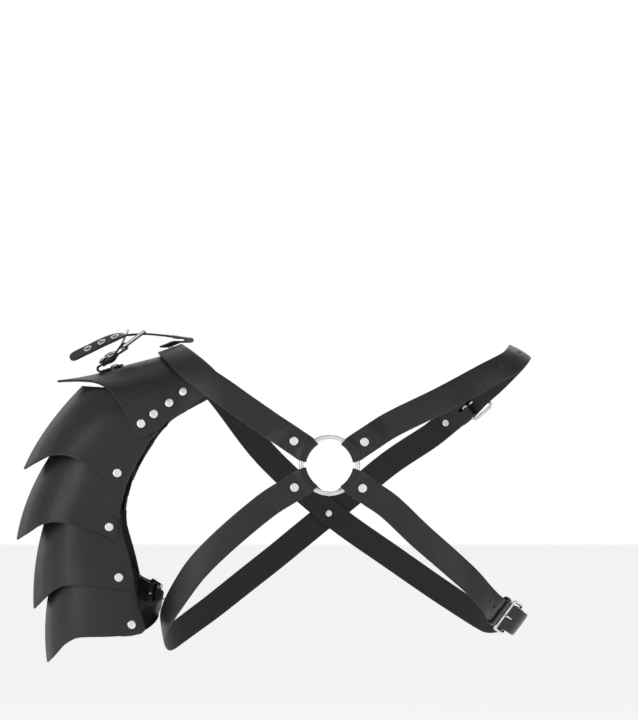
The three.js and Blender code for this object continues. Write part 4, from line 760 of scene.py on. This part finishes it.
def plate_grid(plate):
    last = plate["lower"][-1][0]
    lx, lz = [(r[0], r[1]) for r in plate["lower"]], [(r[0], r[2]) for r in plate["lower"]]
    ux, ud, uz = ([(r[0], r[k]) for r in plate["upper"]] for k in (1, 2, 3))
    half = []
    for i in range(FINE_RULINGS + 1):
        f = i / FINE_RULINGS
        phi = last * (1 - (1 - f) ** 1.35)
        low = np.array([smooth_value(lx, phi), PLATE_MID_Y - plate["half_depth"] * math.sin(math.radians(phi)), smooth_value(lz, phi)])
        up = np.array([smooth_value(ux, phi), PLATE_MID_Y - smooth_value(ud, phi), smooth_value(uz, phi)])
        course = []
        for j in range(FINE_COURSES + 1):
            v = j / FINE_COURSES
            q = up * (1 - v) + low * v
            arch = 4 * v * (1 - v)
            q[0] -= arch * (plate["edge_bow"] * f ** 3 + plate["bulge"] * math.cos(math.radians(min(phi, 90))) ** 2)
            q[2] -= plate["sag"] * arch * (1 - f)
            course.append(q)
        half.append(course)
    half = np.array(half)
    rear = half[1:].copy()
    rear[:, :, 1] = 2 * PLATE_MID_Y - rear[:, :, 1]
    return np.concatenate([half[::-1], rear])


def tree_of(node):
    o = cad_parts[node]
    return BVHTree.FromPolygons([v.co / MM for v in o.data.vertices], [tuple(p.vertices) for p in o.data.polygons])


def blur(d, weight, turns):
    for _ in range(turns):
        for axis in (0, 1):
            p = np.concatenate([d.take([0], axis), d, d.take([-1], axis)], axis)
            w = np.concatenate([weight.take([0], axis), weight, weight.take([-1], axis)], axis)
            n = d.shape[axis]
            a, b, c = (p.take(range(k, k + n), axis) for k in (0, 1, 2))
            wa, wb, wc = (w.take(range(k, k + n), axis) for k in (0, 1, 2))
            total = wa + 2 * wb + wc
            d = np.where(total > 1e-6, (a * wa + 2 * b * wb + c * wc) / np.maximum(total, 1e-6), d)
            weight = np.maximum(weight, np.where(total > 1e-6, 1e-3, 0))
    return d


def settle(P, tree, thickness, turns):
    """Moves a fine grid on to the middle of a packed sheet of leather, and smooths the move."""
    N = grid_normals(P)
    d = np.zeros(P.shape[:2])
    ok = np.zeros(P.shape[:2])
    for i in range(P.shape[0]):
        for j in range(P.shape[1]):
            q, n = Vector(P[i, j]), Vector(N[i, j])
            a = tree.ray_cast(q + n * 22, -n, 44)
            b = tree.ray_cast(q - n * 22, n, 44)
            if a[0] is None or b[0] is None:
                continue
            ha, hb = (a[0] - q).dot(n), (b[0] - q).dot(n)
            if 0.7 * thickness < ha - hb < 1.8 * thickness:
                d[i, j] = (ha + hb) / 2
                ok[i, j] = 1
    d = blur(d, ok, turns)
    return P + N * d[:, :, None]


plate_objects = {}
for plate in PLATES:
    P = settle(plate_grid(plate), tree_of(plate["name"]), PLATE_LEATHER, 26)
    o = slab("pauldron_" + plate["name"], P, PLATE_LEATHER, PLATE_LEATHER_M)
    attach(o, "root")
    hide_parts(plate["name"])
    plate_objects[plate["name"]] = o

# ---------------------------------------------------------------- arm strap


def place_on(tree, x, z, sign=-1):
    """Point and outward normal where a line along Y first meets a packed plate."""
    hits = []
    for dx, dz in ((0, 0), (2, 0), (-2, 0), (0, 2), (0, -2)):
        h = tree.ray_cast(Vector((x + dx, 400 * sign, z + dz)), Vector((0, -sign, 0)), 800)
        if h[0] is not None:
            n = h[1] if h[1].y * sign > 0 else -h[1]
            hits.append((np.array(h[0]), np.array(n)))
    return hits[0][0], unit(sum(n for _, n in hits))


tree5 = tree_of("plate_5")
DROP = PLATE_LEATHER + GAP + LEATHER / 2 + 0.3
arm_keys = []
for dx, dz in ((-16, -2), (-9, -1), (0, 0)):
    at, axis = place_on(tree5, -181.9 + dx, -249.9 + dz)
    arm_keys.append((at - axis * DROP, axis))


def rear_of(p):
    return np.array([p[0], 2 * PLATE_MID_Y - p[1], p[2]])


straps["arm_strap_front"] = route([free_key(p, n) for p, n in arm_keys] + [
    free_key((-174, -37, -247), (0.35, -0.93, 0)), free_key((-165.5, -28, -241.5), (0.75, -0.66, 0)),
    frame_key(arm, -31, -3.05), frame_key(arm, -24, -3.1),
], ARM_HALF, 8) + tongue_rows("arm", ARM_HALF)[1:]
straps["arm_strap_back"] = route([free_key(rear_of(p), (n[0], -n[1], n[2])) for p, n in arm_keys] + [
    free_key((-175, 48, -243), (0.4, 0.91, 0)), free_key((-174.5, 41, -231), (0.8, 0.6, 0)),
    frame_key(arm, 27, -0.45), frame_key(arm, 20, -0.4),
], ARM_HALF, 8) + carrier_rows("arm", ARM_HALF, 23)[1:]

# ---------------------------------------------------------------- hanger
tree_strap, tree1 = tree_of("strap_right_shoulder"), tree_of("plate_1")
CURL_SKEW = 26


def seat_z(x):
    skew = math.tan(math.radians(CURL_SKEW))
    hits = [tree_strap.ray_cast(Vector((x + dx + y * skew, PLATE_MID_Y + y, 60)), Vector((0, 0, -1)), 90)[0] for dx in (-1, 0, 1) for y in (-8, -4, 0, 4, 8)]
    return max(q.z for q in hits if q is not None and q.z > -12) + GAP + HANGER_LEATHER / 2 + 0.5


FREE_END = [  # x, z, roll in degrees
    (-187.4, 16.2, 0), (-193, 15.7, 14), (-198, 14.5, 24), (-205, 12.0, 30),
    (-214, 8.0, 32), (-222, 4.0, 32), (-230, 0.2, 32), (-236, -2.8, 32)]
TOP_RUN = [(-139, 13.9, 0, 25), (-148, 15.2, 0, 18), (-158, 16.2, 0, 8), (-166, 16.9, 0), (-172, 17.2, 0), (-179, 16.9, 0)]
CURL_TOP = 13.0
middle, radius = (seat_z(-134) + CURL_TOP) / 2, (CURL_TOP - seat_z(-134)) / 2
path = [(x, seat_z(x), 0, CURL_SKEW) for x in (-154, -151, -148.5, -146, -143.5, -141, -138.5, -135)]
path += [(-132 + radius * math.cos(math.radians(a)), middle + radius * math.sin(math.radians(a)), 0, CURL_SKEW) for a in (-60, -30, 0, 30, 60, 90)]
path += TOP_RUN + FREE_END
path = [(*q, 0)[:4] for q in path]


def band_row(x, z, roll, tx, tz, skew=0):
    t = unit((tx, 0, tz))
    n = -np.cross((0, -1, 0), t)
    w = np.array([-math.tan(math.radians(skew)), -math.cos(roll), 0]) - n * math.sin(roll)
    return np.array([x, PLATE_MID_Y, z]) + np.outer(COLUMNS * HANGER_HALF, w)


rows = []
for i, (x, z, roll, skew) in enumerate(path):
    a, b = path[max(i - 1, 0)], path[min(i + 1, len(path) - 1)]
    rows.append(band_row(x, z, math.radians(roll), b[0] - a[0], b[1] - a[1], skew))
for d, share in ((2.5, 0.92), (4.6, 0.72), (5.8, 0.45), (6.3, 0.2)):
    row = band_row(path[-1][0] - d * 0.89, path[-1][1] - d * 0.45, math.radians(32), -0.89, -0.45)
    rows.append(row[2] + (row - row[2]) * share)
straps["hanger_tongue"] = rows


def foot_z(x):
    return tree1.ray_cast(Vector((x, PLATE_MID_Y, 200)), Vector((0, 0, -1)), 400)[0].z + GAP + HANGER_LEATHER / 2 + 0.15


FOOT_TURN = 2.7
hang_fold = BUCKLE_WIRE + GAP + HANGER_LEATHER / 2
turn_at = np.array([-213, 0, foot_z(-213) + FOOT_TURN])
foot_path = [np.array([x, 0, foot_z(x)]) for x in (-192, -210)]
turn_path = [turn_at + FOOT_TURN * np.array([math.cos(math.radians(a)), 0, math.sin(math.radians(a))]) for a in (-95, -130, -165, -200, -235, -258)]
flat = np.array([1, 0, 1])
low_end, turn_end = hanger.at(0, -hang_fold) * flat, turn_path[-1] * flat
band_up = unit(low_end - turn_end)
band_up = np.array([-band_up[2], 0, band_up[0]])
DOUBLE = HANGER_LEATHER + GAP + 0.25


def leg_roll(f):
    return math.radians(28) * smoothstep(f, 0, 0.42) * (1 - smoothstep(f, 0.45, 0.76))


def anchor_row(p):
    return np.array([(p[0], PLATE_MID_Y - u * HANGER_HALF, p[2]) for u in COLUMNS])


def leg_row(f, lift):
    roll = leg_roll(f)
    normal = band_up * math.cos(roll) + np.array([0, -1, 0]) * math.sin(roll)
    at = turn_end + (low_end - turn_end) * f + np.array([0, PLATE_MID_Y, 0]) + normal * lift
    across = np.array([0, -math.cos(roll), 0]) - band_up * math.sin(roll)
    return at + np.outer(COLUMNS * HANGER_HALF, across)


straps["hanger_anchor"] = [anchor_row(q) for q in foot_path + turn_path]
straps["hanger_anchor"] += [leg_row(f, 0) for f in (0.13, 0.27, 0.41, 0.52, 0.62, 0.74, 0.87)]
straps["hanger_anchor"] += [anchor_row(hanger.at(s, z)) for s, z in fold(0, 0, hang_fold)]
straps["hanger_anchor"] += [leg_row(f, DOUBLE) for f in (0.66, 0.58, 0.49, 0.4, 0.27, 0.13, 0.04)]

# ---------------------------------------------------------------- cutters


def cylinder(at, axis, radius, length, sides=24):
    axis = unit(axis)
    s = unit(np.cross(axis, (0.13, 0.27, 0.95) if abs(axis[2]) < 0.9 else (0.95, 0.2, 0.1)))
    u = np.cross(axis, s)
    verts = [at + axis * h + (s * math.cos(a) + u * math.sin(a)) * radius for h in (-length / 2, length / 2) for a in (2 * math.pi * k / sides for k in range(sides))]
    faces = [(k, (k + 1) % sides, sides + (k + 1) % sides, sides + k) for k in range(sides)]
    faces += [tuple(reversed(range(sides))), tuple(range(sides, 2 * sides))]
    return verts, faces


def block(at, x, y, z, size):
    verts = [at + x * (i * size[0] / 2) + y * (j * size[1] / 2) + z * (k * size[2] / 2) for i in (-1, 1) for j in (-1, 1) for k in (-1, 1)]
    return verts, [(0, 1, 3, 2), (4, 6, 7, 5), (0, 4, 5, 1), (2, 3, 7, 6), (0, 2, 6, 4), (1, 5, 7, 3)]


def volume(mesh):
    bm = bmesh.new()
    bm.from_mesh(mesh)
    v = abs(bm.calc_volume(signed=True))
    bm.free()
    return v


def cut(o, shapes):
    for v, f in shapes:
        m = bpy.data.meshes.new("cutter")
        m.from_pydata([tuple(np.array(p) * MM) for p in v], [], f)
        bm = bmesh.new()
        bm.from_mesh(m)
        bmesh.ops.recalc_face_normals(bm, faces=bm.faces)
        bm.to_mesh(m)
        bm.free()
        cutter = bpy.data.objects.new("cutter", m)
        bpy.context.scene.collection.objects.link(cutter)
        before = volume(o.data)
        mod = o.modifiers.new("cut", "BOOLEAN")
        mod.operation = "DIFFERENCE"
        mod.solver = "EXACT"
        mod.object = cutter
        done = bpy.data.meshes.new_from_object(o.evaluated_get(bpy.context.evaluated_depsgraph_get()))
        o.modifiers.remove(mod)
        after = volume(done)
        if 0.8 * before < after <= before * 1.0001:
            old = o.data
            o.data = done
            bpy.data.meshes.remove(old)
        else:
            print("NO CUT", o.name, before * 1e9, after * 1e9)
            bpy.data.meshes.remove(done)
        bpy.data.objects.remove(cutter)
        bpy.data.meshes.remove(m)
    o.data.set_sharp_from_angle(angle=math.radians(42))


def nearest_on(P, q):
    d = ((P - np.array(q)) ** 2).sum(axis=2)
    i, j = np.unravel_index(d.argmin(), d.shape)
    return P[i, j], grid_normals(P)[i, j], i, j


# ---------------------------------------------------------------- lathe-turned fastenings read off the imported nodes


def turned_facts(node, wide):
    """Centre line and heights of a rivet or eyelet: the wide end faces out."""
    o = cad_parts[node]
    v = np.unique(np.round(np.array([tuple(o.matrix_world @ q.co) for q in o.data.vertices]) / MM, 3), axis=0)
    c = v.mean(axis=0)
    e, w = np.linalg.eigh(np.cov((v - c).T))
    odd = 0 if abs(e[1] - e[2]) < abs(e[0] - e[1]) else 2
    axis = w[:, odd]
    h = (v - c) @ axis
    r = np.linalg.norm((v - c) - np.outer(h, axis), axis=1)
    if h[r > wide].mean() < 0:
        axis, h = -axis, -h
    return c, axis, h, r


def rivet(node):
    c, axis, h, r = turned_facts(node, 3.8)
    top, high = h[r > 3.8].min(), h.max()
    foot = h[(r > 2.7) & (r < 3.7)].max()
    low = h.min()
    R, H = 4.2, high - top + 0.30
    t = top - 0.30
    profile = [(0, t + H), (0.25 * R, t + 0.997 * H), (0.5 * R, t + 0.98 * H), (0.68 * R, t + 0.94 * H), (0.80 * R, t + 0.86 * H), (0.90 * R, t + 0.70 * H), (0.97 * R, t + 0.47 * H), (R, t + 0.25 * H), (0.985 * R, t + 0.06 * H), (0.93 * R, t)]
    b = foot + 0.30
    profile += [(1.45, t), (1.45, b), (2.95, b), (3.15, b - 0.12), (3.2, b - 0.35), (3.05, low + 0.25), (2.6, low + 0.06), (1.2, low), (0, low)]
    return turned_mesh("fitting_" + node, profile, c, axis, NICKEL_CAP, 36)


def eyelet(node):
    c, axis, h, r = turned_facts(node, 3.8)
    top, low = h[r > 3.8].min(), h.min()
    under = h[(r > 3.0) & (r < 3.7)].max()
    t, b = top - 0.12, under + 0.12
    profile = [(2.0, t + 0.1), (2.12, t + 0.42), (2.4, t + 0.62), (2.8, t + 0.7), (3.25, t + 0.66), (3.65, t + 0.5), (3.92, t + 0.26), (4.0, t + 0.08), (3.9, t), (2.45, t), (2.45, b), (3.3, b), (3.4, b - 0.15), (3.35, low + 0.1), (3.0, low), (2.3, low), (2.0, low + 0.2)]
    return turned_mesh("fitting_" + node, profile, c, axis, NICKEL, 40), c, axis, h.max() - h.min()


def keep(o, node):
    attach(o, "root")
    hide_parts(node)
    return o


made = {}
holes = {k: [] for k in straps}
names = sorted(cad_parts)
for node in names:
    if "rivet" in node:
        made[node] = keep(rivet(node), node)
    elif "eyelet" in node:
        o, c, axis, tall = eyelet(node)
        made[node] = keep(o, node)
        for holder in (["hanger_anchor"] if node.startswith("anchor") else ["hanger_tongue"] if node != "seat_eyelet_lower" else ["hanger_tongue", "strap_right_shoulder"]):
            holes[holder].append(cylinder(c, axis, 2.6, tall + 3))

# ---------------------------------------------------------------- ring, buckle frames and prongs
ring_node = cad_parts["front_ring"]
v = np.array([tuple(ring_node.matrix_world @ q.co) for q in ring_node.data.vertices]) / MM
ring_mid = (v.min(axis=0) + v.max(axis=0)) / 2
circle = [ring_mid + RING_MID_RADIUS * np.array([math.cos(a), 0, math.sin(a)]) for a in (2 * math.pi * k / 160 for k in range(160))]
keep(wire("ring_of_the_front", circle, RING_WIRE_RADIUS, NICKEL, 28, True), "front_ring")

HOLDERS = {"side": ("strap_right_shoulder", "strap_left_flank"), "back": ("strap_right_flank", "strap_left_shoulder"), "arm": ("arm_strap_back", "arm_strap_front"), "hanger": ("hanger_anchor", "hanger_tongue")}
for name, b in BUCKLES.items():
    f, L, W = b["frame"], b["length"], b["width"]
    turn, points = 3.0, []
    for cs, cy, start in ((-L + turn, W / 2 - turn, 90), (-L + turn, -W / 2 + turn, 180), (-turn, -W / 2 + turn, 270), (-turn, W / 2 - turn, 0)):
        for k in range(10):
            a = math.radians(start + k * 10)
            points.append(f.at(cs + turn * math.cos(a), 0) + f.y * (cy + turn * math.sin(a)))
    closed = []
    for p, q in zip(points, points[1:] + points[:1]):
        gap = np.linalg.norm(q - p)
        steps = max(1, int(gap / 2.5))
        closed += [p + (q - p) * k / steps for k in range(steps)]
    keep(wire("frame_of_" + name + "_buckle", closed, BUCKLE_WIRE, NICKEL, 22, True), name + "_buckle_frame")
    curl = BUCKLE_WIRE + GAP + PRONG_RADIUS
    tip = (-11.8, 10.2) if name == "hanger" else (-L - 1.2, curl)
    far = math.hypot(*tip)
    leave = math.atan2(tip[1], tip[0]) - math.acos(curl / far)
    first = math.radians(-145)
    path = [(curl * math.cos(a), curl * math.sin(a)) for a in (first + (leave - first) * k / 26 for k in range(27))]
    end = path[-1]
    path += [(end[0] + (tip[0] - end[0]) * k / 8, end[1] + (tip[1] - end[1]) * k / 8) for k in range(1, 9)]
    line = [f.at(*p) for p in path]
    keep(wire("prong_of_" + name + "_buckle", line, PRONG_RADIUS, NICKEL, 20), name + "_buckle_prong")
    way = unit(line[-1] - f.at(*end))
    mid = (f.at(*end) + line[-1] + way * 3) / 2
    tall = np.linalg.norm(line[-1] + way * 3 - f.at(*end))
    holes[HOLDERS[name][0]].append(block(f.at(0, 0), f.x, f.y, f.z, (12, 2 * PRONG_RADIUS + 1.1, 14)))
    holes[HOLDERS[name][1]].append(cylinder(mid, way, PRONG_RADIUS + 0.55, tall, 20))

# ---------------------------------------------------------------- straps
HANGERS = ("hanger_tongue", "hanger_anchor")
strap_grids = {name: refine(rows, RUN["hanger" if name in HANGERS else "strap"], 13 if name in HANGERS else 15) for name, rows in straps.items()}
for name, places in (("strap_left_flank", [side.at(s, -3) for s in (-39, -50, -61)]), ("strap_left_shoulder", [(156.2, -44, -13.9), (168.9, -30, -7.1), (176, -16, -4.6)])):
    P = strap_grids[name]
    for q in places:
        at, axis, i, j = nearest_on(P, q)
        holes[name].append(cylinder(P[i, P.shape[1] // 2], grid_normals(P)[i, P.shape[1] // 2], 1.7, 9, 24))
for name, P in strap_grids.items():
    small = name in HANGERS
    o = slab("leather_" + name, P, HANGER_LEATHER if small else LEATHER, HANGER_LEATHER_M if small else STRAP_LEATHER, crown=0.12 if small else 0.22, round_to=0.6 if small else 0.8)
    if holes[name]:
        cut(o, holes[name])
    made[name] = keep(o, name)

# ---------------------------------------------------------------- keeper
o_at = side.at(-23 - 4.2 - 8, -3.07)
flat_w, flat_h, corner, skin, long = 28.05, 4.9, 2.3, 1.8, 8.0
loop = []
for cx, cy, a0 in ((flat_w / 2 - corner, flat_h / 2 - corner, 0), (-flat_w / 2 + corner, flat_h / 2 - corner, 90), (-flat_w / 2 + corner, -flat_h / 2 + corner, 180), (flat_w / 2 - corner, -flat_h / 2 + corner, 270)):
    for k in range(9):
        a = math.radians(a0 + k * 90 / 8)
        loop.append((cx + corner * math.cos(a), cy + corner * math.sin(a), math.cos(a), math.sin(a)))
section = [(0.45, 0.9), (0.15, 0.75), (0.0, 0.4), (0.0, -0.4), (0.15, -0.75), (0.45, -0.9), (long / 2, -0.9), (long - 0.45, -0.9), (long - 0.15, -0.75), (long, -0.4), (long, 0.4), (long - 0.15, 0.75), (long - 0.45, 0.9), (long / 2, 1.0)]
verts, faces, rim, back_side = [], [], [], []
for y, z, ny, nz in loop:
    for s, r in section:
        verts.append(o_at + side.x * s + side.y * (y + ny * r) + side.z * (z + nz * r))
        rim.append(1.0 if abs(r) < 0.8 else 0.15)
        back_side.append(1.0 if r < -0.8 else 0.0)
K, S = len(loop), len(section)
for i in range(K):
    for k in range(S):
        faces.append((i * S + k, i * S + (k + 1) % S, ((i + 1) % K) * S + (k + 1) % S, ((i + 1) % K) * S + k))
mesh = bpy.data.meshes.new("keeper_loop")
mesh.from_pydata([tuple(q * MM) for q in verts], [], faces)
for label, values in (("rim", rim), ("back", back_side)):
    att = mesh.attributes.new(label, "FLOAT", "POINT")
    att.data.foreach_set("value", values)
made["side_keeper"] = keep(finish_mesh("keeper_loop", mesh, STRAP_LEATHER), "side_keeper")
